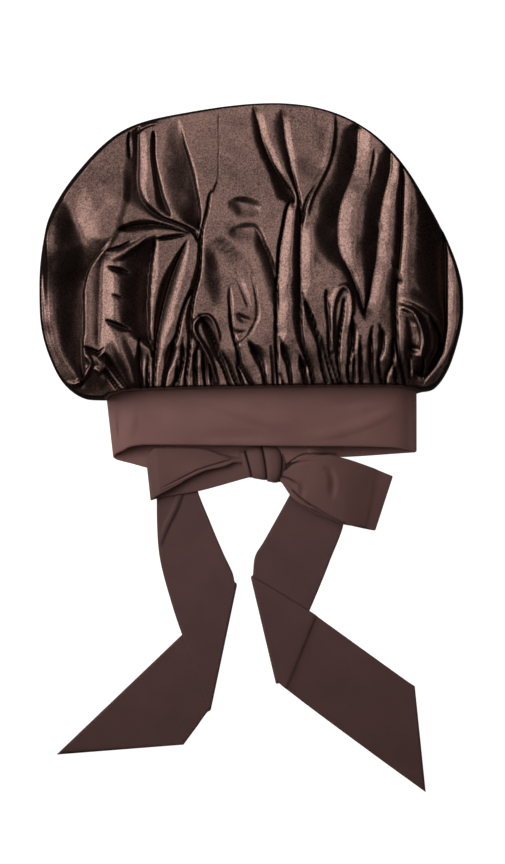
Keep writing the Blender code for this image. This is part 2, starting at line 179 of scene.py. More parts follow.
# The long black line on the right.
lap((137, 58, 3, 2.5), (134.5, 69, 3.5, 2.5), (132, 79.5, 4, 3.5), (130, 88.5, 4, 4.5),
    (129, 99.5, 4.5, 5.5), (128.5, 113, 4.5, 5.5), (128, 124.5, 4.5, 5.5), (128.5, 135.5, 4.5, 6.5, 9),
    (129.5, 149, 4.5, 7, 9), (131, 162.5, 4.5, 7), (132, 176, 4.5, 7, 6.5), (133, 189.5, 4.5, 7),
    (133.5, 202, 4.5, 7), (134, 214.5, 4.5, 6.5, 7), (134.5, 227, 4.5, 6.5, 7), (135, 240, 4, 5.5, 7),
    (134.5, 250.5, 3, 5.5, 6.5), (133.5, 259.5))
# The dark slope beyond it, and the rim that rises from it.
lap((152.5, 63.5), (159, 71.5, 3, 5.5, 3.5), (165, 80.5, 5, 7, 5.5), (169.5, 92, 6.5, 8, 7),
    (172.5, 106, 7, 8), (173, 119, 7, 8, 9), (173, 133, 8, 14.5, 9), (173, 144.5, 10, 25, 9),
    (173, 156, 11, 29, 9), (173, 171.5, 11, 29, 9), (172, 187, 11, 27, 8), (169.5, 200, 10.5, 24.5, 7),
    (165, 212, 9, 20, 5.5), (159, 223.5, 7, 14.5, 4.5), (151, 236, 4, 8, 3.5), (142.5, 250.5))
# The arched fold at the lower right: its roof, its edge, its hollow and the hollow outside it.
swell((131, 139, 0, 7, 5.5), (138, 134.5, 2, 12.5, 5.5), (146, 131, 2.8, 12.5, 5.5),
      (155, 125.5, 2.4, 10, 4.5), (162.5, 119, 1.4, 7, 3.5), (168, 112, 0, 3.5))
swell((146, 72.5, 0, 3.5), (148, 80.5, 3, 3.5, 4.5), (151, 88.5, 4, 5.5, 6.5), (152.5, 97, 4.6, 5.5, 7),
      (151, 106.5, 4.6, 4.5, 7), (147, 116.5, 4.2, 4.5, 6.5), (142.5, 123, 3.6, 3.5, 5.5),
      (137, 126.5, 2.6, 3.5, 5.5), (131, 127.5, 0, 3.5, 4.5))
crease((141, 63.5), (141, 72.5, 4, 2, 2.5), (141, 81.5, 7, 5.5, 2.5), (142.5, 90.5, 9, 8, 3.5),
       (144.5, 99.5, 10, 9, 3.5), (144.5, 110, 9, 9, 3.5), (142, 119, 6, 7, 4.5), (138, 124.5))
crease((151.5, 58), (155, 66, 3, 2, 3.5), (160, 74, 5, 7, 4.5), (164, 81.5, 6, 9, 5.5),
       (168, 90.5, 6, 8, 6.5), (168, 99.5, 6, 8, 6.5), (165, 108.5, 5, 6.5), (160.5, 115.5, 1.8, 2.5),
       (156.5, 122.5))
# The round-topped fold between the second and third long ridges.
lap((78, 58, 2.5, 2), (73.5, 70.5, 2.5, 2), (70, 83, 2.5, 2), (69, 94, 2.5, 2), (69, 106.5, 2.5, 2),
    (68, 117.5, 2.5, 2, 2.5), (67, 128, 2.5, 2, 2.5), (66.5, 137, 2.2, 2, 2.5), (66, 144.5))
swell((71.5, 88.5, 1, 2.5), (71.5, 104, 1.6, 2.5, 3), (71.5, 119, 1.8, 3.5), (73.5, 133, 1.8, 4.5, 3.5),
      (78, 143.5, 1.8, 4.5), (83, 145.5, 1.8, 4.5, 3.5), (88, 137, 1.8, 3.5), (88.5, 124.5, 1.5, 3.5, 2.5),
      (87, 110, 1.2, 3.5, 2.5), (85, 95, 0, 2.5))
crease((80.5, 58, 3, 1.5, 3.5), (78, 70.5, 3.5, 2, 4), (76.5, 81.5, 4, 2, 4), (77, 91.5, 5, 3, 4),
       (78, 102, 5, 3), (79.5, 113, 5, 3, 3.5), (81, 122, 4, 2.5, 3), (82, 131, 2.5, 2, 2.5), (82.5, 137))
# The middle. The line beside the first ridge, and the long black line between it and the second.
lap((24, 56, 3, 2), (23, 68, 4, 2), (22.5, 81.5, 4, 2.5), (22.5, 95, 4, 3.5, 5.5), (22, 104, 4, 2.5, 11),
    (22, 117.5, 4, 2.5, 12.5), (22, 135.5, 4, 2.5, 12.5), (23, 153.5, 4, 2.5, 11.5),
    (24, 169.5, 4, 2.5, 11.5), (25, 180.5, 4, 2.5, 11), (26.5, 189.5, 4, 2.5, 11),
    (28.5, 200, 3.5, 2.5, 10), (31, 213, 3, 2.5, 8), (34.5, 222))
lap((56, 56, 3.5, 2.5), (54.5, 63.5, 4.5, 2.5, 3.5), (52, 73.5, 4.5, 2.5, 5.5), (48.5, 83, 4.5, 2.5, 5.5),
    (46, 92, 4, 4.5), (44.5, 102, 4, 7, 3.5), (43.5, 113, 4.2, 8, 3.5), (43.5, 124.5, 4.2, 9, 3.5),
    (43.5, 137, 4.2, 9, 6.5), (43.5, 150, 4.6, 9, 11), (43, 164, 4.8, 8, 11.5), (43, 178.5, 4.8, 8, 11.5),
    (43.5, 193, 4.8, 8, 11.5), (43.5, 205, 4.6, 7, 9), (43, 215.5, 4, 4.5, 5.5), (42, 225.5, 3.6, 2.5, 3.5),
    (39.5, 234.5, 3.2, 3.5), (37.5, 242.5, 3, 5.5, 4.5), (35.5, 250.5, 2.8, 7, 5.5), (34, 259, 2.6, 8, 6.5),
    (32, 268, 2.5, 10, 7), (30, 279.5, 2.4, 11, 7), (28.5, 293, 2.2, 11, 7), (26.5, 304.5, 0, 7, 5.5))
# The slanting hollow near the top.
lap((36.5, 214.5, 0, 7, 3.5), (37, 223, 4, 12.5, 3.5), (34.5, 230, 5.5, 15.5, 4.5), (30, 236, 6, 13.5, 6.5),
    (25, 243.5, 6, 11, 7), (20.5, 250.5, 5.5, 9, 8), (16.5, 259, 4.5, 9, 8), (13, 268, 4, 9, 8),
    (9.5, 277.5, 3.6, 9, 8), (7, 288.5, 3, 9, 8), (4, 299, 1.8, 7), (1.5, 308))
swell((47, 193, 0, 2.5, 3.5), (47.5, 205.5, 1, 3.5), (49.5, 215.5, 1.4, 4.5, 3.5),
      (53, 225.5, 1.6, 5.5, 3.5), (57.5, 234.5, 1.6, 6.5, 3.5), (62.5, 243.5, 1.6, 7, 3.5),
      (67, 253.5, 1.6, 7, 3.5), (70.5, 265, 1.6, 7, 3.5), (72.5, 277.5, 1.5, 7, 3.5),
      (73.5, 290, 1.2, 6.5, 2.5), (73.5, 299, 0, 4.5, 2.5))
lap((44, 199.5), (45.5, 208.5, 3.2, 2.5, 5.5), (47.5, 217.5, 3, 2.5, 4.5), (51, 226.5, 2.2, 2.5, 3.5),
    (55.5, 234.5, 1.2, 2.5), (61, 243.5))
# The wedge below the second long ridge.
crease((67, 60, 3, 1.5, 3.5), (63.5, 72.5, 4, 2, 4), (61.5, 85, 4, 2, 3.5), (59.5, 97, 5, 2.5),
       (57, 106.5, 7, 5, 2.5), (54.5, 115.5, 8, 6.5, 2.5), (51, 124.5, 7, 5.5, 2), (47, 133.5, 3, 2.5, 2),
       (44.5, 142))
# The left part. The slit, and the fold that overlaps it.
crease((-70.5, 206.5), (-75, 214.5, 4, 11, 4.5), (-79, 223.5, 4.5, 10, 5.5), (-82, 234.5, 5, 7, 5.5),
       (-84.5, 246, 5.5, 5.5, 4.5), (-86.5, 258, 6, 4.5, 3), (-87, 268.5, 6, 4.5, 2.5),
       (-87, 278.5, 5, 3.5, 2.5), (-87.5, 285))
lap((-47, 187, 4, 3.5, 2.5), (-50, 193, 4.4, 3.5, 2), (-55.5, 197, 4, 4.5, 2), (-62.5, 200, 3.8, 6.5, 2),
    (-71.5, 203.5, 3.6, 7, 2.5), (-80.5, 207.5, 3.4, 7, 2.5), (-88.5, 213, 3.8, 9, 3.5),
    (-95, 220, 4.4, 12.5, 4.5), (-99, 228, 5, 15.5, 6.5), (-101, 236, 5.4, 16, 8),
    (-101.5, 245, 5.4, 15.5, 9), (-101, 257, 5.4, 14.5, 9), (-101, 268.5, 5, 13.5, 9),
    (-101, 281, 4, 11, 8), (-100.5, 290))
crease((-108, 258), (-108.5, 267, 2, 2, 3.5), (-109, 276, 2.5, 2.5, 3.5), (-108.5, 285))
swell((-104, 281, 0, 2), (-97.5, 286.5, 1.2, 2.5), (-89.5, 290, 1.2, 2.5), (-79.5, 291, 0, 2))
lap((-46.5, 197.5, 3, 10, 2.5), (-46.5, 206.5, 7, 20, 3.5), (-47, 216.5, 8, 26, 3.5),
    (-48.5, 225.5, 7.2, 29, 4.5), (-50.5, 234.5, 6.6, 30.5, 4.5), (-52, 243.5, 6, 30.5, 4.5),
    (-54.5, 252.5, 5.4, 29.5, 4.5), (-57, 261.5, 4.6, 28, 4.5), (-60, 271.5, 3.6, 24.5, 3.5),
    (-63.5, 284, 2, 20, 3.5), (-68, 297.5, 0, 11, 3.5))
crease((-58, 56, 3, 1.5, 3.5), (-58, 68, 4, 2, 4), (-56, 81.5, 4, 2, 4), (-54.5, 95, 4, 2.5),
       (-54, 106.5, 4.5, 4.5, 2.5), (-53.5, 119, 5, 7, 2.5), (-52, 133.5, 6.5, 8, 2.5),
       (-49, 146, 6.5, 7, 3.5), (-46.5, 158, 6, 5.5, 3.5), (-45.5, 171.5, 5.5, 3.5),
       (-45, 185, 5, 2.5, 3.5), (-44, 195, 3.5, 2.5), (-42, 203, 2.8, 2.5), (-39, 213, 2.6, 2.5),
       (-37.5, 223.5, 2.5, 2), (-35.5, 232.5))
crease((-68, 92, 0, 0.5, 1), (-66, 99.5, 3, 2.5), (-64.5, 108.5, 4, 2.5, 3.5), (-61.5, 121, 4, 2.5, 3.5),
       (-57, 133, 4, 2.5), (-52, 143.5))
crease((-86.5, 56, 3, 1.5, 3.5), (-86, 72.5, 4, 2, 4), (-85.5, 86, 4.5, 2.5, 8.5),
       (-84.5, 97.5, 5, 3.5, 10), (-82.5, 110, 6, 7, 12.5), (-79.5, 124, 7, 9, 14.5),
       (-76, 138, 7.6, 10, 15.5), (-72, 151.5, 7.2, 10, 14.5), (-67, 165, 5.8, 7, 11.5),
       (-61.5, 177, 3.4, 4.5, 8), (-55.5, 189.5))
lap((-87, 84, 3, 2.5), (-88, 90.5, 4.5, 3.5, 2.5), (-90.5, 98.5, 7, 11.5, 3.5), (-92, 108.5, 11, 23.5, 5.5),
    (-92, 119, 14, 29, 6.5), (-92, 133, 15.5, 29.5, 7), (-91.5, 146, 15.5, 30.5, 8),
    (-90.5, 159, 14, 30.5, 9), (-89, 171.5, 11, 25, 8), (-87, 182, 6, 16, 5.5), (-85, 191, 0, 7, 2))
lap((-133.5, 87, 0, 7, 5.5), (-135.5, 95, 2.6, 11, 9), (-134.5, 106, 3.6, 12.5, 11),
    (-133.5, 117.5, 4, 13.5, 11.5), (-133, 131, 4, 13.5, 12.5), (-133, 144.5, 4, 13.5, 12.5),
    (-132.5, 159, 3.8, 13.5, 11.5), (-131.5, 169.5, 2.4, 11, 9), (-130, 178.5))
crease((-129, 164), (-123, 162, 3, 2.5, 4.5), (-115, 160, 4, 3.5, 6.5), (-106, 156))
crease((-125.5, 139), (-119, 136.5, 2, 2, 4.5), (-112, 133))
crease((-131, 116.5), (-124, 113.5, 4, 2.5, 5.5), (-115, 110, 4.5, 2.5, 7), (-106, 106))
crease((-119, 196), (-113, 197.5, 3.5, 4.5, 6.5), (-104, 200, 5, 5.5, 9), (-95, 201, 5, 5.5, 9),
       (-86, 201, 4, 4.5, 7), (-74, 199, 3.4, 3.5, 4.5), (-63.5, 196, 2.6, 2.5), (-53.5, 192))
crease((-86, 187.5), (-77, 188.5, 3.5, 3.5), (-67, 190, 3.5, 3.5, 2.5), (-56, 192))
crease((-131, 176.5), (-124, 178.5, 1.8, 2, 3.5), (-115, 181.5, 2, 2, 3.5), (-106, 187))
swell((-125.5, 169.5, 0, 3.5), (-117.5, 173, 1.6, 5.5), (-108.5, 178.5, 2, 5.5), (-99.5, 184, 1.8, 4.5),
      (-91.5, 190.5, 0, 3.5))
# The long flap on the left.
swell((-134.5, 176, 0, 5.5, 3.5), (-130, 182, 0.8, 18, 5.5), (-126.5, 191, 1.8, 36, 9),
      (-123.5, 200, 2.2, 45, 11), (-120, 213, 2.2, 45, 11), (-117, 225.5, 1.6, 39.5, 10),
      (-114, 238, 0.9, 30.5, 8), (-111, 250.5, 0, 18, 7))
swell((-167, 78, 0, 3.5, 7), (-172.5, 90.5, 1, 4.5, 12.5), (-177, 107.5, 2, 5.5, 18),
      (-178.5, 131, 2.5, 6.5, 23.5), (-179.5, 148, 5, 6.5, 30.5), (-179.5, 162.5, 9, 6.5, 35),
      (-180, 175, 12, 6.5, 36), (-180.5, 187.5, 12.5, 6.5, 34), (-180.5, 201, 10, 6.5, 30.5),
      (-178.5, 214.5, 5, 6.5, 23.5), (-176, 227, 0, 5.5, 11))
lap((-150, 54.5), (-150, 60, 2, 4.5, 2), (-150, 69, 6, 10, 2), (-150.5, 79, 8, 16, 2),
    (-151, 88.5, 10, 20.5, 2), (-150.5, 99.5, 11, 24.5, 2), (-149.5, 113, 11.5, 28, 2),
    (-150, 126.5, 11.5, 29.5, 2), (-150, 140, 11, 30.5, 2), (-148, 151.5, 9.5, 29.5, 2),
    (-145, 160.5, 7, 28, 2), (-141, 168, 4.8, 25, 2.5), (-135.5, 175, 2.8, 19, 2.5),
    (-129, 183, 1.4, 11, 2.5), (-124, 191))
crease((-151, 93), (-143.5, 90, 4, 2.5, 5.5), (-135.5, 87, 6, 2.5, 8), (-129, 83.5, 7, 2.5, 9),
       (-124.5, 77, 7, 2.5, 9), (-119, 68, 6, 2.5, 6.5), (-114, 60, 4, 2.5, 3.5), (-110, 55.5, 3, 1.5, 3.5))
swell((-164, 61, 0, 2.5), (-157, 59, 1.8, 3.5), (-150, 63.5, 2.4, 3.5), (-145.5, 70, 2.6, 3.5),
      (-142.5, 77, 2.6, 3.5), (-145.5, 83, 2.2, 3.5), (-151, 88.5, 0, 2.5))
swell((-130, 53.5, 0, 2.5), (-132, 60, 2.2, 3.5), (-133, 66, 2.6, 3.5), (-136.5, 71.5, 2.4, 3.5),
      (-141, 72.5, 0, 2.5))
crease((-118.5, 54.5, 3, 2.5), (-123, 61, 4, 3.5), (-128, 69, 4, 3.5), (-133.5, 76))
swell((-106, 60, 3, 4.5, 7), (-109.5, 72.5, 3.5, 6.5, 9), (-115, 85, 3.5, 8, 11), (-119, 97, 2.5, 8, 11),
      (-122, 108.5, 0, 5.5, 7))
# The flat middle's shallow hollows and small folds.
crease((-36.5, 226.5), (-33, 232.5, 1, 1.5), (-30, 241.5, 0.7, 1.5), (-29, 257, 0.6, 1.5),
       (-29, 293, 0.6, 1.5), (-29, 304.5))
swell((-21, 220, 0, 4.5, 7), (-12, 219.5, -2, 7, 12.5), (-5, 218, -2.8, 9, 14.5), (2, 216, -2.2, 8, 12.5),
      (9.5, 213, 0, 4.5, 7))
swell((-20, 189.5, 0, 3.5, 7), (-13, 194, -0.9, 6.5, 11), (-5, 196.5, -1.3, 6.5, 12.5),
      (2, 196, -1, 6.5, 11), (9.5, 192, 0, 5.5, 7))
lap((23, 121, 0, 7, 2.5), (22.5, 135.5, 2, 10, 2.5), (21.5, 148, 2.8, 11, 3.5),
    (19.5, 160.5, 3.4, 11.5, 4.5), (16, 172.5, 3.6, 11.5, 4.5), (11, 183, 3.4, 11, 4.5),
    (7, 193, 2, 9, 3.5), (2, 200))
swell((-27.5, 124.5, 0, 12.5, 16), (-23, 143.5, -3, 20.5, 25), (-25, 159, -3.6, 20, 27),
      (-31, 173, -2.8, 14.5, 21.5), (-41, 183, 0, 5.5, 12.5))
crease((2, 56, 4, 1.5, 3.5), (-5, 67, 4.5, 2, 4), (-10.5, 77, 4.5, 2.5, 5), (-12, 88.5, 3.5, 2, 5),
       (-15, 99.5, 3, 2, 4.5), (-17.5, 110, 2.6, 1.5, 4.5), (-18.5, 122, 2.4, 1.5, 4.5),
       (-19.5, 137, 2, 1.5, 3.5), (-20, 147))
swell((-1.5, 124.5, 0, 2.5), (-4, 133.5, -1.1, 3.5, 4.5), (-9.5, 147, -1.1, 3.5, 4.5), (-16, 160, 0, 2.5))
crease((-12, 94, 0.6, 2.5, 3), (-4, 100.5, 1.1, 3.5), (2, 110, 1.2, 3.5), (6, 122, 1.2, 3.5),
       (5, 135.5, 1.1, 3.5), (1.5, 151, 0.9, 3.5), (-4, 169.5))
swell((-15, 121, 0, 2.5), (-7.5, 117.5, -1.4, 3, 5.5), (0.5, 114, 0, 2.5))
swell((-17.5, 108.5, 0, 2.5), (-11, 104, -1.3, 3, 5.5), (-4, 106, 0, 2.5))
crease((-18.5, 57, 3, 1.5, 3.5), (-22, 67, 4, 2, 4), (-25.5, 76, 4, 2.5, 5), (-29, 84, 5, 5.5, 4.5),
       (-31, 92, 6, 8, 3), (-34.5, 101, 6, 8, 3.5), (-39, 110, 5, 6.5, 3.5), (-43.5, 116.5, 1.8, 2.5, 1.5),
       (-48, 123))
swell((-31, 61, 1.5, 2.5), (-34.5, 72.5, 2.5, 3.5), (-38, 82.5, 3, 3.5), (-43.5, 93, 3.5, 3.5),
      (-49, 102, 3.5, 3.5), (-51, 110, 3, 3.5), (-47, 117.5, 3, 2.5, 3.5), (-40, 120, 2.5, 2.5, 3.5),
      (-34, 115, 2, 2.5, 3.5), (-30, 104, 1.5, 2.5), (-29, 92, 0, 2.5))
# The gaps between the gathers, from left to right.
crease((-97.5, 56, 5, 1.5, 3.5), (-98.5, 69, 6, 2, 4), (-99.5, 81.5, 5, 4.5, 8), (-99.5, 94, 1.8, 2),
       (-99.5, 102))
crease((-92, 56, 4, 1.5, 3.5), (-92, 69, 4, 2, 4), (-92, 79.5, 1.4, 1, 1.5), (-92, 88))
crease((-78, 56, 6, 1.5, 3.5), (-76, 70, 8, 2, 4.5), (-73.5, 79.5, 8, 5.5, 8), (-70.5, 88.5, 7, 7, 7.5),
       (-69, 97, 2.4, 3, 2), (-67, 104.5))
crease((-69, 56, 3, 1.5, 3), (-66, 67, 3, 2, 3), (-66, 76, 1, 0.5, 1.5), (-66, 84))
crease((-65, 56, 3, 1.5, 3.5), (-64.5, 63.5, 4, 2, 4), (-62, 74, 5, 2.5, 4), (-61, 85, 5, 3, 4.5),
       (-61, 94, 1.8, 1.5, 1), (-61, 102))
crease((-49, 56, 5, 1.5, 3.5), (-50, 70.5, 6, 2, 4.5), (-50, 81.5, 5, 3, 5.5), (-48, 90.5, 1.8, 1.5),
       (-46.5, 98.5))
crease((-40, 56, 3, 1.5, 3.5), (-41, 63.5, 4, 2, 4), (-42, 72.5, 5, 2, 4.5), (-43, 81.5, 1.8, 1, 2),
       (-43.5, 89.5))
crease((-34, 56, 3, 1.5, 3), (-35.5, 63.5, 4, 2, 3), (-36.5, 71.5, 1.4, 0.5, 1.5), (-37.5, 79.5, 0, 0.5, 1))
crease((-11, 56, 3, 1.5, 3.5), (-16, 66, 4, 2, 4), (-20, 76, 3, 2, 3), (-24, 84, 1, 0.5, 1), (-27, 91.5))
crease((-7.5, 56, 6, 1.5, 3.5), (-9.5, 65, 6, 2, 4), (-12, 72.5, 2.1, 1.5, 2.5), (-15, 79.5, 0, 0.5, 1))
crease((13, 56, 6, 1.5, 3.5), (11, 67, 6, 2, 4), (8.5, 76, 5, 3.5, 8), (6, 82.5, 7, 5.5, 9.5),
       (3, 88.5, 6, 5.5, 7.5), (-0.5, 94, 2.1, 2, 2.5), (-4, 99.5))
crease((20, 56, 2, 1.5, 2.5), (19.5, 74, 2, 1.5, 2.5), (17.5, 88.5, 0.7, 0.5), (16.5, 96.5))
crease((35.5, 56, 4, 1.5, 3.5), (34, 69, 6, 2, 4), (32, 79.5, 7, 3.5, 5), (29, 88.5, 7, 5.5, 5),
       (26.5, 96, 2.4, 2, 1.5), (24, 103))
crease((29, 56, 3, 1.5, 3), (26.5, 65, 1, 0.5, 1.5), (24, 73, 0, 0.5, 1))
crease((49, 56, 6, 1.5, 3.5), (47, 66, 7, 2, 4), (45.5, 74, 6, 4.5, 8), (43.5, 80.5, 2.1, 2, 3), (42, 87))
crease((73.5, 58, 2, 1.5, 3), (69, 72.5, 2.5, 2, 3), (65, 85, 2, 2, 3), (62.5, 97.5, 0.7, 0.5), (61, 105.5))
crease((88.5, 58, 3, 1.5, 3.5), (86, 70.5, 4, 2, 4), (87, 81.5, 4, 2.5, 3), (88.5, 90.5, 5, 4.5, 7),
       (89.5, 97.5, 8, 6.5), (89.5, 106.5, 7, 5.5, 6.5), (89.5, 115.5, 2.4, 2, 2.5), (89.5, 124))
crease((91, 58, 3, 1.5, 3), (91, 76, 3, 2, 3), (91, 85, 1, 0.5, 1), (91, 93))
crease((98.5, 58, 4, 1.5, 3.5), (97, 72.5, 5, 2, 4), (97, 85, 5, 2, 3.5), (96.5, 96, 1.8, 1), (96, 104))
crease((108.5, 58, 3, 1.5, 3.5), (106.5, 70.5, 4, 2, 4.5), (106, 81.5, 5, 3.5, 5.5), (106, 94, 5, 3.5, 3),
       (106.5, 105, 1.8, 1.5, 1), (107.5, 113))
crease((116.5, 58, 2.5, 1.5, 3.5), (114, 69, 3, 2, 4), (113, 79.5, 3, 2.5, 5), (115, 87, 4, 4.5, 5.5),
       (116.5, 94, 5, 5.5, 4.5), (116.5, 101, 4, 5.5, 4.5), (115, 108.5, 1.4, 2), (113, 115.5))
crease((119, 58, 2.5, 1.5, 3), (120, 67, 3, 2, 4), (124, 76, 3, 2.5, 5), (125.5, 85, 5, 2.5, 4.5),
       (125.5, 94, 1.8, 1), (125.5, 102))
crease((130, 58, 3, 1.5, 3.5), (128, 67, 4, 2, 4), (126.5, 74, 1.4, 1, 2), (124.5, 81.5, 0, 0.5, 1))
crease((151, 61.5, 4, 1.5, 2.5), (152.5, 70.5, 5, 2, 2.5), (152.5, 78, 1.8, 1), (152.5, 85))
crease((148, 60, 3, 1.5, 2), (146, 67, 1, 1), (144.5, 74))

outline = through(CROWN_OUTLINE, steps=12)
mouth_front = through(MOUTH_FRONT, steps=12)
mouth_back = through(MOUTH_BACK, steps=12)

# The crown stands up from its widest line in a tight rim, then slopes to its flat top. Places are
# fractions along the outline, from the left fold.
WIDEST_PLACES = (0, .05, .1, .16, .21, .27, .35, .42, .57, .69, .76, .82, .92, 1)
WIDEST_HEIGHTS = (9, 13, 18, 22, 25, 26, 26, 26, 26, 26, 24, 20, 14, 9)
RIM_WIDTHS = (3.5, 3.5, 4, 4, 5, 7, 6, 4, 3, 4, 5, 5, 5, 4)
LOWEST_RIM = 50.0          # top of the rim beside the band's folds
RIM_HEIGHT = 52.0          # and farther from the band
RIM_RISE = (45, 75)        # y where it starts to rise to that, and over how much
TOP_HEIGHT = 57.0
SHORT_SLOPE = 50           # width of the slope from the rim to the top, beside the band
LONG_SLOPE = 100           # what it gains farther from the band
SLOPE_RISE = (78, 110)     # y where it starts to widen, and over how much
DOME_HEIGHT = 5.0          # of the middle over the rest of the top
DOME_RADIUS = 175
DOME_CENTRE_Y = 125
GATHER_REACH = 0.45        # how fast the cloth drops to the gathered edge
GATHER_SHARE = 0.95        # the share of the drop that is so close to it
GATHER_SLOPE = 40          # width of the gentle slope that takes the rest
RIPPLES = ((28, 1.1, 3), (13, 0.45, 4), (5, 0.08, 5))     # size, height and seed
LOWEST_CLOTH = 3.0         # the upper layer stays this far above the table
CREASE_WALL = 1.7          # how far from a crease's line its wall stands
CREST_ROUND = 2.5          # how fast a fold's side rounds over into its crest
WIDE_SIDE = 8              # from this reach on, a lap's steep side starts to fall straight instead
PAINTED_SHADE_FROM = 0.7           # depth over reach, of both sides together, from which a crease gets painted shade
PAINTED_SHADE_RISE = 0.4            # and over how much more its painted shade becomes full
PAINTED_SHADE_LINE = 0.6            # how far from a crease's line, or from the widest line, the painted shade is full
PAINTED_SHADE_FADE = 1.1            # and over how much more that fades
NARROWEST = 0.3            # the least reach of a fold's side
MARGIN = 4                 # past its reach a fold is worked out this much farther
EDGE_PAINTED_SHADE = 0.9           # how dark the widest line is painted, 0 to 1: painted shade where the cloth turns under
EDGE_FADE = 1.4            # and over how much that fades


def belly(along):
    """Height of the crown's widest line at this fraction of the outline."""
    return np.interp(along, WIDEST_PLACES, WIDEST_HEIGHTS)


def slope(t):
    """0 to 1, straight up to a short round shoulder."""
    t = np.minimum(t, 1)
    return 1.25 * (t - t ** 5 / 5)


def folded(x, y, z, folds):
    """Heights at places in plan with folds in them, and the painted shade of each place in a crease, 0 to 1.
    """
    z = z.copy()
    painted_shade = np.zeros(x.shape)
    for rows, steepest in folds:
        far = rows[:, 3:5].max() + MARGIN
        close = ((x > rows[:, 0].min() - far) & (x < rows[:, 0].max() + far)
                 & (y > rows[:, 1].min() - far) & (y < rows[:, 1].max() + far))
        if not close.any():
            continue
        apart, side, part = to_curve(x[close], y[close], rows)
        height, left, right = (np.interp(part, run_of(rows), rows[:, k]) for k in (2, 3, 4))
        reach = np.maximum(np.where(side > 0, left, right), NARROWEST)
        u = np.minimum(1, apart / reach)
        if steepest is None:
            z[close] += height * (1 - u * u) ** 2
            continue
        sloped = np.minimum(height, np.where(side > 0, STEEP, steepest) * reach)
        straight = np.where(side > 0, np.clip(reach / WIDE_SIDE - 1, 0, 1), 1) * (steepest == GENTLE)
        fall = 1 - straight * slope(u) - (1 - straight) * (1 - (1 - u) ** CREST_ROUND)
        z[close] -= sloped * fall + (height - sloped) * (1 - smooth(apart / CREASE_WALL))
        shade_share = np.clip((height / left + height / right - PAINTED_SHADE_FROM) / PAINTED_SHADE_RISE, 0, 1)
        painted_shade[close] = np.maximum(painted_shade[close], shade_share * (1 - smooth((apart - PAINTED_SHADE_LINE) / PAINTED_SHADE_FADE)))
    return z, painted_shade


def top_height(x, y):
    """The crown's upper layer at places in plan, and the painted shade of each place, 0 to 1, in creases and
    along the widest line.
    """
    distance, _, along = to_curve(x, y, outline)
    gap, _, across = to_curve(x, y, mouth_front)
    widest = belly(along)
    rim_width = np.interp(along, WIDEST_PLACES, RIM_WIDTHS)
    rim_height = LOWEST_RIM + (RIM_HEIGHT - LOWEST_RIM) * smooth((y - RIM_RISE[0]) / RIM_RISE[1])
    z = widest + (rim_height - widest) * np.sqrt(1 - (1 - np.minimum(distance / rim_width, 1)) ** 2)
    slope_width = SHORT_SLOPE + LONG_SLOPE * smooth((y - SLOPE_RISE[0]) / SLOPE_RISE[1])
    z += (TOP_HEIGHT - rim_height) * slope(distance / slope_width)
    z += DOME_HEIGHT * np.maximum(0, 1 - (x / DOME_RADIUS) ** 2 - ((y - DOME_CENTRE_Y) / DOME_RADIUS) ** 2)
    mouth_z = np.interp(across, run_of(mouth_front), mouth_front[:, 2])
    z += (mouth_z - z) * (GATHER_SHARE * np.exp(-gap / GATHER_REACH)
                          + (1 - GATHER_SHARE) * (1 - smooth(gap / GATHER_SLOPE)))
    z, painted_shade = folded(x, y, z, folds)
    # Painted shade along the widest line, where the cloth turns under.
    painted_shade = np.maximum(painted_shade, EDGE_PAINTED_SHADE * (1 - smooth((distance - PAINTED_SHADE_LINE) / EDGE_FADE)))
    for size, tall, seed in RIPPLES:
        z += tall * ripple(x, y, size, seed)
    return np.maximum(z, LOWEST_CLOTH), painted_shade


UNDER_ROLL = 26.0          # radius of the lower layer's round edge
UNDER_FALL = 24.0          # how far it takes to come down from the mouth


def under_height(x, y):
    """The crown's lower layer: it drops from the band and lies flat on the table."""
    distance, _, along = to_curve(x, y, outline)
    reach, _, across = to_curve(x, y, mouth_back)
    inner = 1 - np.minimum(distance, UNDER_ROLL) / UNDER_ROLL
    z = belly(along) * (1 - np.sqrt(np.maximum(0, 1 - inner ** 2)))
    mouth_z = np.interp(across, run_of(mouth_back), mouth_back[:, 2])
    return z + (mouth_z - z) * (1 - smooth(reach / UNDER_FALL))


FINEST = 0.12              # the first and last step, as a share of one in the middle
FINE_STEPS = 12            # the steps over which they grow


def spread(count):
    """count steps from 0 to 1, finer over the first and last few."""
    k = np.arange(count)
    step = np.minimum(1, FINEST + np.minimum(k, count - 1 - k) / FINE_STEPS)
    return np.concatenate([[0], np.cumsum(step)]) / step.sum()


COLUMNS = 336              # of the upper layer's grid
ROWS = 246
CORNER_COLUMNS = 63        # columns that start beside the mouth, on the outline, at each end
LOWER_CORNER = 0.085       # where along the outline the patch's lower corners are
UPPER_CORNER = 0.345       # and the upper ones
COARSE = 3                 # the layer on the table has a third as many rows and columns


def patch(mouth, us, vs):
    """Places in plan of a grid between the mouth and the outline."""
    first, last = us[us <= us_corner + 1e-9], us[us >= 1 - us_corner - 1e-9]
    middle = us[(us > us_corner + 1e-9) & (us < 1 - us_corner - 1e-9)]
    bottom = np.vstack([
        at(outline, LOWER_CORNER * (1 - first / us_corner)),
        at(mouth, (middle - us_corner) / (1 - 2 * us_corner))[:, :2],
        at(outline, 1 - LOWER_CORNER * (last - 1 + us_corner) / us_corner)])
    top = at(outline, UPPER_CORNER + (1 - 2 * UPPER_CORNER) * us)
    left = at(outline, LOWER_CORNER + (UPPER_CORNER - LOWER_CORNER) * vs)
    right = at(outline, 1 - LOWER_CORNER - (UPPER_CORNER - LOWER_CORNER) * vs)
    u, v = us[None, :, None], vs[:, None, None]
    corners = ((1 - u) * (1 - v) * left[0], u * (1 - v) * right[0], (1 - u) * v * left[-1], u * v * right[-1])
    sides = (1 - v) * bottom[None] + v * top[None] + (1 - u) * left[:, None] + u * right[:, None]
    return sides - sum(corners)


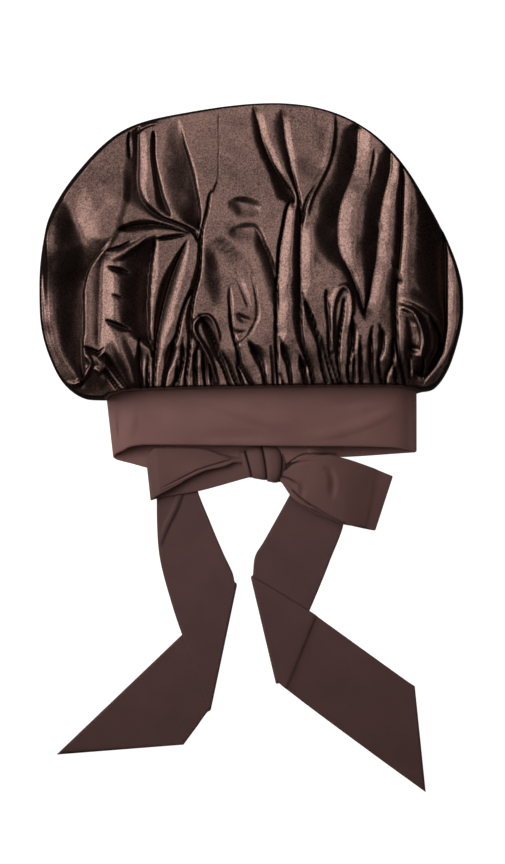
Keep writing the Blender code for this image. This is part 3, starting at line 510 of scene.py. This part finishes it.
def rim_of(columns, rows):
    """Grid places along the outline, from the mouth's left end round to its right end."""
    corner = CORNER_COLUMNS * columns // COLUMNS
    down = [(0, j) for j in range(corner, 0, -1)]
    up = [(i, 0) for i in range(rows)]
    over = [(rows, j) for j in range(columns)]
    back = [(i, columns) for i in range(rows, 0, -1)]
    return down + up + over + back + [(0, j) for j in range(columns, columns - corner - 1, -1)]


us, vs = spread(COLUMNS), spread(ROWS)
us_corner = us[CORNER_COLUMNS]
plan = patch(mouth_front, us, vs)
height, painted_shade = top_height(plan[..., 0], plan[..., 1])
top = np.dstack([plan, height])
rim = rim_of(COLUMNS, ROWS)
for i, j in rim:
    top[i, j, 2] = belly(to_curve(top[i, j, :1], top[i, j, 1:2], outline)[2][0])
under_plan = patch(mouth_back, us[::COARSE], vs[::COARSE])
under = np.dstack([under_plan, under_height(under_plan[..., 0], under_plan[..., 1])])

# The cut edge goes on for a little under the band, in front and behind.
FRONT_TUCK = ((0, -9, -2.2), (0, -4, -1.2))
BACK_TUCK = (0, -9, 0.6)
TUCK_FADE = 10             # columns over which it starts, from each end
mouth_columns = np.arange(CORNER_COLUMNS, COLUMNS - CORNER_COLUMNS + 1)
under_columns = mouth_columns[::COARSE] // COARSE
to_end = np.minimum(mouth_columns - mouth_columns[0], mouth_columns[-1] - mouth_columns)
end_fade = smooth(to_end / TUCK_FADE)[:, None]
front_tuck = [top[0, mouth_columns] + end_fade * np.array(move) for move in FRONT_TUCK]
back_tuck = [under[0, under_columns] + end_fade[::COARSE] * np.array(BACK_TUCK)]

# One list of vertices, with the lower layer's edge on the upper layer's own rim vertices.
points = [top.reshape(-1, 3), under.reshape(-1, 3)] + front_tuck + back_tuck
starts = np.cumsum([0] + [len(p) for p in points])
top_ids = np.arange(starts[1]).reshape(ROWS + 1, COLUMNS + 1)
under_ids = starts[1] + np.arange(starts[2] - starts[1]).reshape(ROWS // COARSE + 1, COLUMNS // COARSE + 1)
rim_ids = [top_ids[place] for place in rim]
for k, place in enumerate(rim_of(COLUMNS // COARSE, ROWS // COARSE)):
    under_ids[place] = rim_ids[k * COARSE]
between = {}               # the rim vertices that a coarse face skips, by the two that it uses
for k in range(0, len(rim_ids) - COARSE, COARSE):
    between[rim_ids[k], rim_ids[k + COARSE]] = rim_ids[k + 1:k + COARSE]
    between[rim_ids[k + COARSE], rim_ids[k]] = rim_ids[k + 1:k + COARSE][::-1]


def quads(ids):
    """Faces of a grid of vertex numbers, seen from above."""
    return np.stack([ids[:-1, :-1], ids[:-1, 1:], ids[1:, 1:], ids[1:, :-1]], axis=-1).reshape(-1, 4).tolist()


faces = quads(top_ids)
for face in quads(under_ids):
    face = face[::-1]
    whole = []
    for k, corner in enumerate(face):
        whole += [corner] + between.get((corner, face[(k + 1) % 4]), [])
    faces.append(whole)
front_ids = [np.arange(starts[2], starts[3]), np.arange(starts[3], starts[4]), top_ids[0, mouth_columns]]
back_ids = [np.arange(starts[4], starts[5]), under_ids[0, under_columns]]
faces += quads(np.array(front_ids))
faces += [face[::-1] for face in quads(np.array(back_ids))]


def piece(name, vertices, faces, material):
    """A named mesh object in the scene, from places in mm."""
    mesh = bpy.data.meshes.new(name)
    mesh.from_pydata((np.asarray(vertices) * MM).tolist(), [], faces)
    mesh.validate()
    mesh.materials.append(material)
    mesh.shade_smooth()
    made = bpy.data.objects.new(name, mesh)
    bpy.context.scene.collection.objects.link(made)
    return made


def set_painted_shade(made, painted_shade):
    """Painted shade at each of a piece's first vertices, 0 to 1: its material's colour is painted darker
    there.
    """
    values = np.zeros(len(made.data.vertices))
    values[:painted_shade.size] = painted_shade.reshape(-1)
    made.data.attributes.new("painted_shade", "FLOAT", "POINT").data.foreach_set("value", values)


def linear(hex_colour):
    """sRGB hex to the linear values that Blender's colours use."""
    parts = [int(hex_colour[i:i + 2], 16) / 255 for i in (1, 3, 5)]
    return [c / 12.92 if c <= 0.04045 else ((c + 0.055) / 1.055) ** 2.4 for c in parts] + [1.0]


def add(tree, kind, settings=None, **links):
    """A node with its settings, and its inputs as values or linked from other nodes' outputs.

    In an input's name _ stands for a space, and _0 is the first input.
    """
    node = tree.nodes.new(kind)
    for name, value in (settings or {}).items():
        setattr(node, name, value)
    for name, value in links.items():
        key = int(name[1:]) if name[0] == "_" else name.replace("_", " ")
        if isinstance(value, bpy.types.NodeSocket):
            tree.links.new(value, node.inputs[key])
        else:
            node.inputs[key].default_value = value
    return node


def new_material(name):
    """An empty node material, and its tree."""
    material = bpy.data.materials.new(name)
    material.use_nodes = True
    material.node_tree.nodes.clear()
    return material, material.node_tree


# Polyester satin, dyed dark brown: long smooth floats that mirror the softboxes in the dye's own colour,
# as a metal does, so it goes from bright pinkish brown to nearly black as it turns. Its floats are about
# 0.4 mm long, too fine for the picture, so the grain is drawn 3 to 4 times as coarse. The clouds in the
# dye are 45 mm wide. In steep narrow creases and along the widest line its colour is painted nearly black, as
# painted shade.
GRAINS_PER_MM = 0.7
CLOUDS_PER_MM = 0.022
RELIEF = 0.2               # depth of the grain, and of the matte cloth's weave
DARK_TONE = 0.45           # up to this tone the dye is at its darkest
MULTIPLY_ADD = {"operation": "MULTIPLY_ADD"}


def dyed_and_shaded(tree, tone, dark, light, light_tone, painted_shade_strength):
    """The dye's colour at a tone, painted darker by up to this strength where the painted shade attribute is
    set.
    """
    colour = add(tree, "ShaderNodeValToRGB", Fac=tone)
    for stop, position, shade in zip(colour.color_ramp.elements, (DARK_TONE, light_tone), (dark, light)):
        stop.position, stop.color = position, linear(shade)
    shade_attribute = add(tree, "ShaderNodeAttribute", {"attribute_name": "painted_shade"})
    left = add(tree, "ShaderNodeMath", MULTIPLY_ADD, _0=shade_attribute.outputs["Fac"], _1=-painted_shade_strength, _2=1.0)
    dye_and_shade = add(tree, "ShaderNodeVectorMath", {"operation": "SCALE"},
              _0=colour.outputs["Color"], Scale=left.outputs[0])
    return dye_and_shade.outputs[0]


satin, tree = new_material("brown polyester satin")
place = add(tree, "ShaderNodeTexCoord").outputs["Object"]
grain = add(tree, "ShaderNodeTexNoise", Vector=place, Scale=GRAINS_PER_MM / MM, Detail=2.0, Roughness=0.7)
cloud = add(tree, "ShaderNodeTexNoise", Vector=place, Scale=CLOUDS_PER_MM / MM, Detail=2.0)
tone = add(tree, "ShaderNodeMath", MULTIPLY_ADD, _0=cloud.outputs["Fac"], _1=0.3, _2=grain.outputs["Fac"])
dye_and_shade = dyed_and_shaded(tree, tone.outputs[0], "#2e2320", "#664f48", light_tone=0.85, painted_shade_strength=0.97)
bump = add(tree, "ShaderNodeBump", Strength=0.25, Distance=RELIEF * MM, Height=grain.outputs["Fac"])
shader = add(tree, "ShaderNodeBsdfPrincipled", Base_Color=dye_and_shade, Metallic=0.96, Roughness=0.31,
             Normal=bump.outputs["Normal"])
add(tree, "ShaderNodeOutputMaterial", Surface=shader.outputs["BSDF"])

crown = piece("crown_satin", np.vstack(points), faces, satin)
set_painted_shade(crown, painted_shade)
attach(crown, "root")
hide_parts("crown")

# ---- band ----
# A wide strip of matte woven cloth, folded double and pressed. It runs from the knot round the front
# and back to the knot, with the crown's gathers sewn under its far edge. Each row of a strip's table is
# one section: its far edge and its near edge, each as x, y and height, and how far it arches up between.
BAND = (
    (2, 7, 6, 2, -16, 5, 0), (-12, 10, 4.6, -10, -16, 3.6, 0.5), (-32.9, 24.9, 3, -26.6, -17.6, 2.4, 0.5),
    (-73.4, 41, 1.6, -73.4, -19, 1, 0), (-118, 45, 2, -110, -11.6, 2, 0),
    (-130.1, 48.6, 10, -124.2, -6.6, 6, 0), (-124.5, 51.5, 19, -118, -1.4, 14, 0),
    (-100.4, 54.8, 28, -91.4, 5, 21, 1.5), (9.5, 57.6, 35, 12.2, 4, 25, 2),
    (115.7, 58.3, 29, 115.7, 3.1, 20, 1.5), (142, 56.6, 20, 143, 0.5, 11, 0),
    (148.1, 54.4, 10, 148.5, -1.5, 6, 0), (137, 49.6, 2, 137, -2.6, 2, 0),
    (88.7, 43.6, 1.6, 88.7, -5.9, 1, 0), (57.1, 28.4, 8, 59.9, -6.5, 8.4, 0.5),
    (30, 10, 12.6, 32, -12, 11.6, 0.5), (16, 7, 12.6, 16, -14, 11, 0))
BAND_WALL = 2.0
BAND_FOLDS = (
    fold(None, (-123, 8, 0, 4), (-119, 22, -1.4, 6, 5), (-117, 40, -1, 5, 4), (-117, 48, 0, 4)),
    fold(None, (-110, 10, 0, 6, 4), (-107, 26, 1.2, 9, 6), (-106, 42, 0, 6, 4)),
    fold(None, (-60, 50, 0, 6), (-28, 41, 1.3, 10, 7), (4, 29, 1.5, 10, 7), (34, 20, 0, 6)),
    fold(None, (-52, 12, 0, 8, 5), (-10, 13, -1.1, 9, 6), (30, 11, 0, 8, 5)),
    fold(None, (48, 12, 0, 6, 4), (78, 16, 1.1, 9, 6), (112, 28, 1.1, 9, 6), (138, 42, 0, 6, 4)),
    fold(None, (62, 40, 0, 6, 4), (92, 43, -1, 8, 6), (120, 46, 0, 6, 4)),
    # The strip's end beside the knot: its crest, and the gap between it and the right loop.
    fold(None, (51, 2.5, 0, 6, 3), (54, -1.5, 3, 12, 4), (58, -6, 3, 13, 4), (60, -9, 0, 8, 3)),
    fold(STEEP, (30, -14, 0, 1.6), (36, -9.5, 1.6, 1.8), (43, -5, 1.6, 1.8), (52, -3, 1.4, 1.6),
         (70, -3, 1.2, 1.6), (84, -5.5, 0, 1.6)))


EDGE_STEPS = (0, 0.25, 0.6, 1.2)       # finer steps across a strip at its round edges, in walls
EDGE_WIDTH = 30                        # a strip's width there, as the steps take it
EDGE_ROUND = 0.8                       # how far in the wall reaches its full thickness, in walls
# A strip's unevenness: size, share of its height, seed, and its own place in the bumps.
WAVES = ((34, 1, 8, (500, 0)), (12, 0.3, 9, (0, 300)))


def strip(name, sections, wall, material, steps, across, wave, folds, first):
    """A cloth strip through its table of sections, one closed wall that is round at its edges.

    steps is the number of rows of faces from one section to the next, and across that of points from
    edge to edge. wave is the height of its soft unevenness. The folds start at section number first.
    """
    rows = through(sections, steps)
    ends = np.array(EDGE_STEPS) * wall / EDGE_WIDTH
    t = np.concatenate([ends, np.linspace(ends[-1], 1 - ends[-1], across)[1:-1], 1 - ends[::-1]])
    edge_1, edge_2, arch = rows[:, None, 0:3], rows[:, None, 3:6], rows[:, 6:7]
    middle = edge_1 + (edge_2 - edge_1) * t[None, :, None]
    middle[..., 2] += arch * 4 * t * (1 - t)
    x, y = middle[..., 0], middle[..., 1]
    for size, share, seed, move in WAVES:
        middle[..., 2] += wave * share * ripple(x + move[0], y + move[1], size, seed)
    upper = middle[first * steps:]
    # Painted shade: the steep folds paint the cloth's colour darker along their creases.
    painted_shade = np.zeros(middle.shape[:2])
    upper[..., 2], painted_shade[first * steps:] = folded(upper[..., 0], upper[..., 1], upper[..., 2], folds)
    middle[..., 2] = np.maximum(middle[..., 2], wall / 2)
    along, over = np.gradient(middle, axis=0), np.gradient(middle, axis=1)
    normal = np.cross(along, over)
    normal /= np.maximum(np.linalg.norm(normal, axis=2, keepdims=True), 1e-9)
    width = np.linalg.norm(middle[:, -1] - middle[:, 0], axis=1)
    run = np.concatenate([[0], np.cumsum(np.linalg.norm(np.diff(middle[:, across // 2], axis=0), axis=1))])
    to_side = np.minimum(t, 1 - t)[None] * width[:, None]
    to_end = np.minimum(run, run[-1] - run)[:, None]
    near = np.minimum(1, np.minimum(to_side, to_end) / (EDGE_ROUND * wall))
    half = wall / 2 * np.sqrt(np.maximum(0, 1 - (1 - near) ** 2))
    upper, lower = middle + normal * half[..., None], middle - normal * half[..., None]
    count, wide = middle.shape[:2]
    upper_ids = np.arange(count * wide).reshape(count, wide)
    lower_ids = count * wide + upper_ids
    lower_ids[0], lower_ids[-1], lower_ids[:, 0], lower_ids[:, -1] = (
        upper_ids[0], upper_ids[-1], upper_ids[:, 0], upper_ids[:, -1])
    faces = quads(upper_ids) + [face[::-1] for face in quads(lower_ids)]
    made = piece(name, np.vstack([upper.reshape(-1, 3), lower.reshape(-1, 3)]), faces, material)
    set_painted_shade(made, painted_shade)
    uv = np.stack(np.broadcast_arrays(run[:, None] * MM, t[None] * width.mean() * MM), axis=-1)
    uv = np.vstack([uv.reshape(-1, 2)] * 2)
    layer = made.data.uv_layers.new(name="cloth")
    loop_vertices = np.zeros(len(made.data.loops), int)
    made.data.loops.foreach_get("vertex_index", loop_vertices)
    layer.data.foreach_set("uv", uv[loop_vertices].reshape(-1))
    return made


# Matte plain-woven polyester: it has no mirror of its own, a faint fuzz that catches the light, and dye
# that is a little uneven. Its threads are about 0.3 mm apart, too fine for the picture, so the weave is
# drawn three times as coarse, and its slubs with it. The dye's clouds are 29 mm wide.
THREAD_SPACING = 0.8976
SLUBS_PER_MM = 1.1
DYE_CLOUDS_PER_MM = 0.035
WAVE_TURN = 20             # the wave texture's own angle for one unit of place, in radians


def woven(name, dark, light):
    """A matte plain-woven cloth in two close shades of one dye."""
    material, tree = new_material(name)
    uv = add(tree, "ShaderNodeUVMap", {"uv_map": "cloth"}).outputs["UV"]
    place = add(tree, "ShaderNodeTexCoord").outputs["Object"]
    cloud = add(tree, "ShaderNodeTexNoise", Vector=place, Scale=DYE_CLOUDS_PER_MM / MM, Detail=3.0)
    slubs = add(tree, "ShaderNodeTexNoise", Vector=place, Scale=SLUBS_PER_MM / MM, Detail=1.0)
    tone = add(tree, "ShaderNodeMath", MULTIPLY_ADD, _0=slubs.outputs["Fac"], _1=0.5, _2=cloud.outputs["Fac"])
    # Painted shade: the colour is painted up to 70 % darker in steep folds and in the knot's grooves.
    dye_and_shade = dyed_and_shaded(tree, tone.outputs[0], dark, light, light_tone=1.0, painted_shade_strength=0.7)
    warp, weft = (add(tree, "ShaderNodeTexWave", {"bands_direction": way}, Vector=uv,
                      Scale=2 * np.pi / WAVE_TURN / (THREAD_SPACING * MM)) for way in "XY")
    weave = add(tree, "ShaderNodeMath", {"operation": "MAXIMUM"},
                _0=warp.outputs["Fac"], _1=weft.outputs["Fac"])
    bump = add(tree, "ShaderNodeBump", Strength=0.25, Distance=RELIEF * MM, Height=weave.outputs[0])
    shader = add(tree, "ShaderNodeBsdfPrincipled", Base_Color=dye_and_shade, Roughness=0.78,
                 Specular_IOR_Level=0.35, Sheen_Weight=0.12, Sheen_Roughness=0.5,
                 Sheen_Tint=linear("#c9a59c"), Normal=bump.outputs["Normal"])
    add(tree, "ShaderNodeOutputMaterial", Surface=shader.outputs["BSDF"])
    return material


band_cloth = woven("brown matte cloth of the band", "#6c4945", "#74514b")
band = strip("band_cloth", BAND, BAND_WALL, band_cloth, steps=24, across=44, wave=1.2,
             folds=BAND_FOLDS, first=6)
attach(band, "root")
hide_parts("band")

# ---- knot ----
# The tie's matte cloth, the band's cloth painted darker as painted shade, wrapped three times round the
# strip's two ends and pulled tight, so that it stands in three ridges side by side. All that comes out of it
# is held by it.
KNOT_CENTRE_Y = -13.5
WRAP_PLACES = (-8.8, 12.0, 30.4)
WRAP_LEANS = (0.32, 0.14, -0.1)     # how far the wraps there lean to the left at their far end
WRAP_BULGES = (0.0, 1.0, 3.6)       # and how far they bulge to the right
BULGE_SHARE = 0.6                   # of which this much at their middle, and the rest at their ends
WRAP_CURVE = 16                     # over this much of its length a wrap curves back by its bulge
# Sections from left to right: x, reach to the far and the near side, and height.
KNOT_WRAPS = (
    (-8.8, 9, 7, 8), (-7.6, 12.2, 9.6, 12.5), (-5, 13.6, 11, 14.4), (-3.2, 13.8, 11.2, 13.8),
    (-2.4, 13.6, 11, 11.8), (-1.6, 15, 11.6, 14.8), (3, 17, 12.4, 17.6), (8, 18.6, 13.2, 18.2),
    (11.2, 18.6, 13.4, 16.8), (12, 18.2, 13.2, 14.6), (12.8, 19.2, 14.4, 17.4), (17, 19.8, 15.2, 19.2),
    (22, 19.4, 15.8, 18.6), (25.2, 18.4, 15.4, 16.4), (26, 17.6, 15, 14), (26.8, 17, 15.4, 15),
    (29, 13, 14, 13), (30.4, 9, 10, 9))
GROOVES = (-2.4, 12.0, 26.0)        # where two wraps meet
GROOVE_SHADE_LINE = 0.3                   # how far from it the painted shade is full
GROOVE_PAINTED_SHADE = 1.25                 # how strong the painted shade is there
KNOT_SIDES = 96
SQUARENESS = 0.72                   # 1 is an oval section, and less is squarer
# The bow's cloth is the band's cloth painted darker: painted shade for the weaker light on the bow.
bow_cloth_with_painted_shade = woven("brown matte cloth of the bow, with painted shade", "#543835", "#5e3f3a")
sections = through(KNOT_WRAPS, steps=5)
angle = np.linspace(0, 2 * np.pi, KNOT_SIDES + 1)[:-1]


def rounded(value):
    """A sine or cosine pushed toward a rounded square."""
    return np.sign(value) * abs(value) ** SQUARENESS


across = np.where(np.cos(angle) > 0, sections[:, 1:2], sections[:, 2:3]) * rounded(np.cos(angle))
lean, bulge = (np.interp(sections[:, 0:1], WRAP_PLACES, row) for row in (WRAP_LEANS, WRAP_BULGES))
along = sections[:, 0:1] - lean * across + bulge * (BULGE_SHARE - (across / WRAP_CURVE) ** 2)
tall = sections[:, 3:4] / 2 * (1 + rounded(np.sin(angle)))
rings = np.stack([along, KNOT_CENTRE_Y + across, tall], axis=-1)
count, sides = rings.shape[:2]
ids = np.arange(count * sides).reshape(count, sides)
faces = [face[::-1] for face in quads(np.hstack([ids, ids[:, :1]]))]
faces += [ids[0].tolist(), ids[-1][::-1].tolist()]
knot = piece("knot_cloth", rings.reshape(-1, 3), faces, bow_cloth_with_painted_shade)
knot.data.uv_layers.new(name="cloth")      # each face has the whole map, so its weave is finer than shows
# Painted shade: the knot's colour is painted darker along the grooves between its wraps.
to_groove = np.min([abs(sections[:, 0] - place) for place in GROOVES], axis=0)
set_painted_shade(knot, np.repeat(GROOVE_PAINTED_SHADE * (1 - smooth(to_groove - GROOVE_SHADE_LINE)), sides))
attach(knot, "root")
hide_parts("knot")

# ---- loops and tails ----
# The two loops of the bow and the two free ends, of the band's cloth in one layer. Each loop goes out
# from the knot and comes back over itself, and each tail lies flat and is turned over once at a slant.
# The tails' cloth is the band's cloth painted darker still than the bow's: painted shade for the weaker light
# where they lie flat.
TIE_WALL = 1.6
tail_cloth_with_painted_shade = woven("brown matte cloth of the tails, with painted shade", "#492f2d", "#513532")
LEFT_LOOP = (
    (2, -8, 8.4, 2, -23.5, 8, 0), (-13, -6, 7.6, -8, -26, 6.8, 0.4),
    (-50.9, 0, 6.4, -46.4, -36.6, 4.4, 0.6), (-80, -1.4, 4.6, -82, -43, 3, 0.6),
    (-94.5, -8, 8.6, -90.5, -45.4, 7, 0), (-88, 1.6, 12.6, -84, -40.6, 10.6, 0.4),
    (-80, 2.7, 13.6, -78, -37.5, 11.8, 0.8), (-46.4, 1.8, 15.4, -46.4, -20.2, 14.6, 0.6),
    (-27, -4.5, 14.6, -25, -14.6, 14, 0.2), (-16, -8, 13.4, -14, -10.8, 12.6, 0.1),
    (-4, -7.6, 12, -3, -12, 12, 0))
LEFT_LOOP_FOLDS = (
    fold(STEEP, (-84, -35.5, 0, 1.5), (-64.8, -25.8, 1.7, 1.8, 3), (-46.8, -17, 2.2, 1.8, 4),
         (-26, -10.6, 2.2, 1.6, 4), (-12, -6.5, 0, 1.4, 2)),
    fold(STEEP, (-86, -39, 0, 1.5), (-66, -29.5, 1.2, 1.6), (-48, -21, 1.2, 1.6), (-38, -16.6, 0, 1.4)),
    fold(None, (-86, -8, 0, 8), (-70, -12, -0.9, 12), (-48, -8, -1, 9), (-30, -8, 0, 5)))
RIGHT_LOOP = (
    (24, -9, 8.6, 22, -25, 8, 0), (33, -8, 7.8, 30, -32, 6.8, 0.4),
    (61.7, -6.8, 6.2, 54.5, -56.4, 4.2, 0.6), (107, -17.5, 3.6, 100, -70.5, 3.4, 0.4),
    (127.3, -23, 5.6, 111.2, -72.5, 5.6, 0), (116, -18.4, 7.8, 105, -69.6, 7.4, 0.4),
    (108, -15, 10.2, 100, -68.6, 9.6, 0.8), (84, -7, 17, 82, -66.4, 15.6, 1.2),
    (66, -4.2, 19, 61, -55.5, 17.6, 1.2), (50, -6.2, 17.6, 44, -48, 16.4, 0.8),
    (40, -11, 16, 35.5, -41, 14.8, 0.5), (31.5, -17.5, 14.2, 28.5, -31, 13.2, 0.2),
    (25, -21.5, 12, 24, -24.5, 12, 0))
RIGHT_LOOP_FOLDS = (
    fold(STEEP, (24, -20, 2.5, 2, 3), (31, -15, 3, 2.5, 4), (39, -11, 2.4, 3, 5), (50, -9.6, 0.9, 3, 5),
         (60, -11, 0, 2, 3)),
    fold(STEEP, (27, -23, 1.5, 2, 3), (35, -26, 2.4, 3, 5), (43, -31, 1.4, 4, 6), (50, -38, 0, 4, 6)),
    fold(None, (64, -15, 0, 4, 5), (71, -19, -1.6, 4.5, 6), (74, -31, -2, 4.5, 7), (72, -45, 0, 4, 5)),
    fold(None, (44, -26, 0, 4), (46.4, -35, -1.5, 4, 5), (46, -44, 0, 4)),
    fold(STEEP, (33, -31, 0, 1.4), (44, -42.4, 1.6, 1.7), (62, -54, 1.7, 1.7), (80, -64, 1.3, 1.6),
         (88, -67, 0, 1.4)))
LEFT_TAIL = (
    (-14, -16, 4, -6, -22, 4, 0), (-60, -26, 2.6, -30, -29, 2.6, 0.4), (-86, -44, 0.8, -49, -34, 0.8, 0),
    (-84.2, -90.5, 0.8, -37, -66, 0.8, 0), (-72, -140, 2.6, -26, -92, 2.6, 0),
    (-55, -189, 3.1, -17.5, -110, 3.1, 0), (-39, -234, 3.1, -15.2, -119, 3.1, 0),
    (-37.8, -236, 1.9, -13.6, -120.4, 1.9, 0), (-39.5, -237, 0.8, -17.8, -124, 0.8, 0),
    (-50, -251.2, 0.8, -95.4, -198, 0.8, 0), (-61.7, -266.9, 0.8, -176.9, -275.9, 0.8, 0))
LEFT_TAIL_FOLDS = (
    fold(STEEP, (-62, -40, 1.6, 2, 2.5), (-66, -52, 2, 2.2, 3), (-74, -68, 2, 2.2, 3),
         (-80, -82, 1.5, 2, 3), (-84, -96, 0, 2)),
    fold(None, (-66, -42, 1.2, 5, 3), (-71, -56, 1.8, 5, 3), (-78, -70, 1.4, 4, 3), (-83, -86, 0, 3)))
RIGHT_TAIL = (
    (36, -20, 4, 33, -27, 4, 0), (64, -42, 2.6, 36, -36, 2.6, 0.4), (84, -62, 0.8, 32, -45, 0.8, 0),
    (70.7, -101.2, 0.8, 12.2, -80.6, 0.8, 0), (54.5, -140.9, 0.8, 3.2, -95.9, 0.8, 0),
    (24.8, -209.3, 0.8, 1.1, -113, 0.8, 0), (23, -212, 1.9, -0.2, -113.9, 1.9, 0),
    (24.6, -211.1, 3.1, 1.4, -114.4, 3.1, 0), (29.3, -214.7, 3.1, 52.7, -145.4, 3.1, 0),
    (42, -224.6, 0.8, 66.2, -155.3, 0.8, 0), (108.5, -274.1, 0.8, 133.7, -203.9, 0.8, 0),
    (158, -310, 0.8, 148.1, -213.8, 0.8, 0))
LOOP_TOP = 5               # the section from which a loop is on its way back, on top
for name, sections, wave, cuts, first, cloth, flat, held, rests_on in (
        ("left_loop", LEFT_LOOP, 0.5, LEFT_LOOP_FOLDS, LOOP_TOP, bow_cloth_with_painted_shade, (0.035, 0.185), "folded",
         "left_tail_cloth"),
        ("right_loop", RIGHT_LOOP, 0.6, RIGHT_LOOP_FOLDS, LOOP_TOP, bow_cloth_with_painted_shade, (0.05, 0.24), "folded",
         "right_tail_cloth"),
        ("left_tail", LEFT_TAIL, 0.3, LEFT_TAIL_FOLDS, 0, tail_cloth_with_painted_shade, (0.06, 0.42), "laid", "table_top"),
        ("right_tail", RIGHT_TAIL, 0.3, (), 0, tail_cloth_with_painted_shade, (0.06, 0.42), "laid", "table_top")):
    made = strip(name + "_cloth", sections, TIE_WALL, cloth, steps=20, across=80, wave=wave,
                 folds=cuts, first=first)
    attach(made, "root")
    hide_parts(name)

# ---- table, light and camera ----
# A plain white table, and two softboxes: one far overhead, which the satin's level parts mirror, and one
# at the upper left, which lights the sides of the folds that face it. The camera looks straight down.
TABLE_SIDE = 8000
TABLE_DROP = 0.0004        # metres below the object, so that no cloth lies in it
# Matt white laminate. It glows by itself, so that it stays plain white round the cloth's soft shadows,
# and the satin doesn't mirror it.
floor_material, tree = new_material("matt white laminate")
shader = add(tree, "ShaderNodeBsdfPrincipled", Base_Color=linear("#7c7c7c"), Roughness=0.9,
             Emission_Color=linear("#ffffff"), Emission_Strength=1.0)
add(tree, "ShaderNodeOutputMaterial", Surface=shader.outputs["BSDF"])
corners = np.array(((-1, -1, 0), (1, -1, 0), (1, 1, 0), (-1, 1, 0))) * TABLE_SIDE / 2
floor = piece("table_top", corners, [(0, 1, 2, 3)], floor_material)
floor.location.z = -TABLE_DROP
floor.visible_glossy = False


def softbox(name, place, aim, size, power, spread):
    """A rectangular softbox in metres, watts and radians, turned to a place."""
    lamp = bpy.data.lights.new(name, "AREA")
    lamp.shape = "RECTANGLE"
    lamp.size, lamp.size_y = size
    lamp.energy = power
    lamp.spread = spread
    made = bpy.data.objects.new(name, lamp)
    made.location = place
    made.rotation_euler = (Vector(aim) - Vector(place)).to_track_quat("-Z", "Y").to_euler()
    made.visible_camera = False
    bpy.context.scene.collection.objects.link(made)
    return made


softbox("overhead softbox", place=(0.0, 0.90, 1.5), aim=(0.0, 0.90, 0), size=(0.66, 2.0),
        power=4.7, spread=1.9)
softbox("upper left softbox", place=(-1.0, 0.50, 1.05), aim=(0, 0.30, 0.03), size=(1.1, 1.2),
        power=6.2, spread=1.4)
ROOM_LIGHT = 0.02
world = bpy.data.worlds.new("dim studio")
bpy.context.scene.world = world
world.use_nodes = True
world.node_tree.nodes["Background"].inputs["Color"].default_value = (ROOM_LIGHT,) * 3 + (1,)

# In metres, apart from the sensor.
CAMERA_HEIGHT = 2.6
VIEW_LEVEL = 0.02          # the height at which the picture has its true scale
VIEW_HEIGHT = 0.7776       # what the frame's height shows there
VIEW_CENTRE = (0.0009, 0.01665)
SENSOR = 36.0
lens = bpy.data.cameras.new("camera")
lens.sensor_fit = "VERTICAL"
lens.sensor_height = SENSOR
lens.lens = SENSOR * (CAMERA_HEIGHT - VIEW_LEVEL) / VIEW_HEIGHT
camera = bpy.data.objects.new("camera", lens)
camera.location = (*VIEW_CENTRE, CAMERA_HEIGHT)
bpy.context.scene.collection.objects.link(camera)
bpy.context.scene.camera = camera
bpy.context.scene.view_settings.view_transform = "Standard"
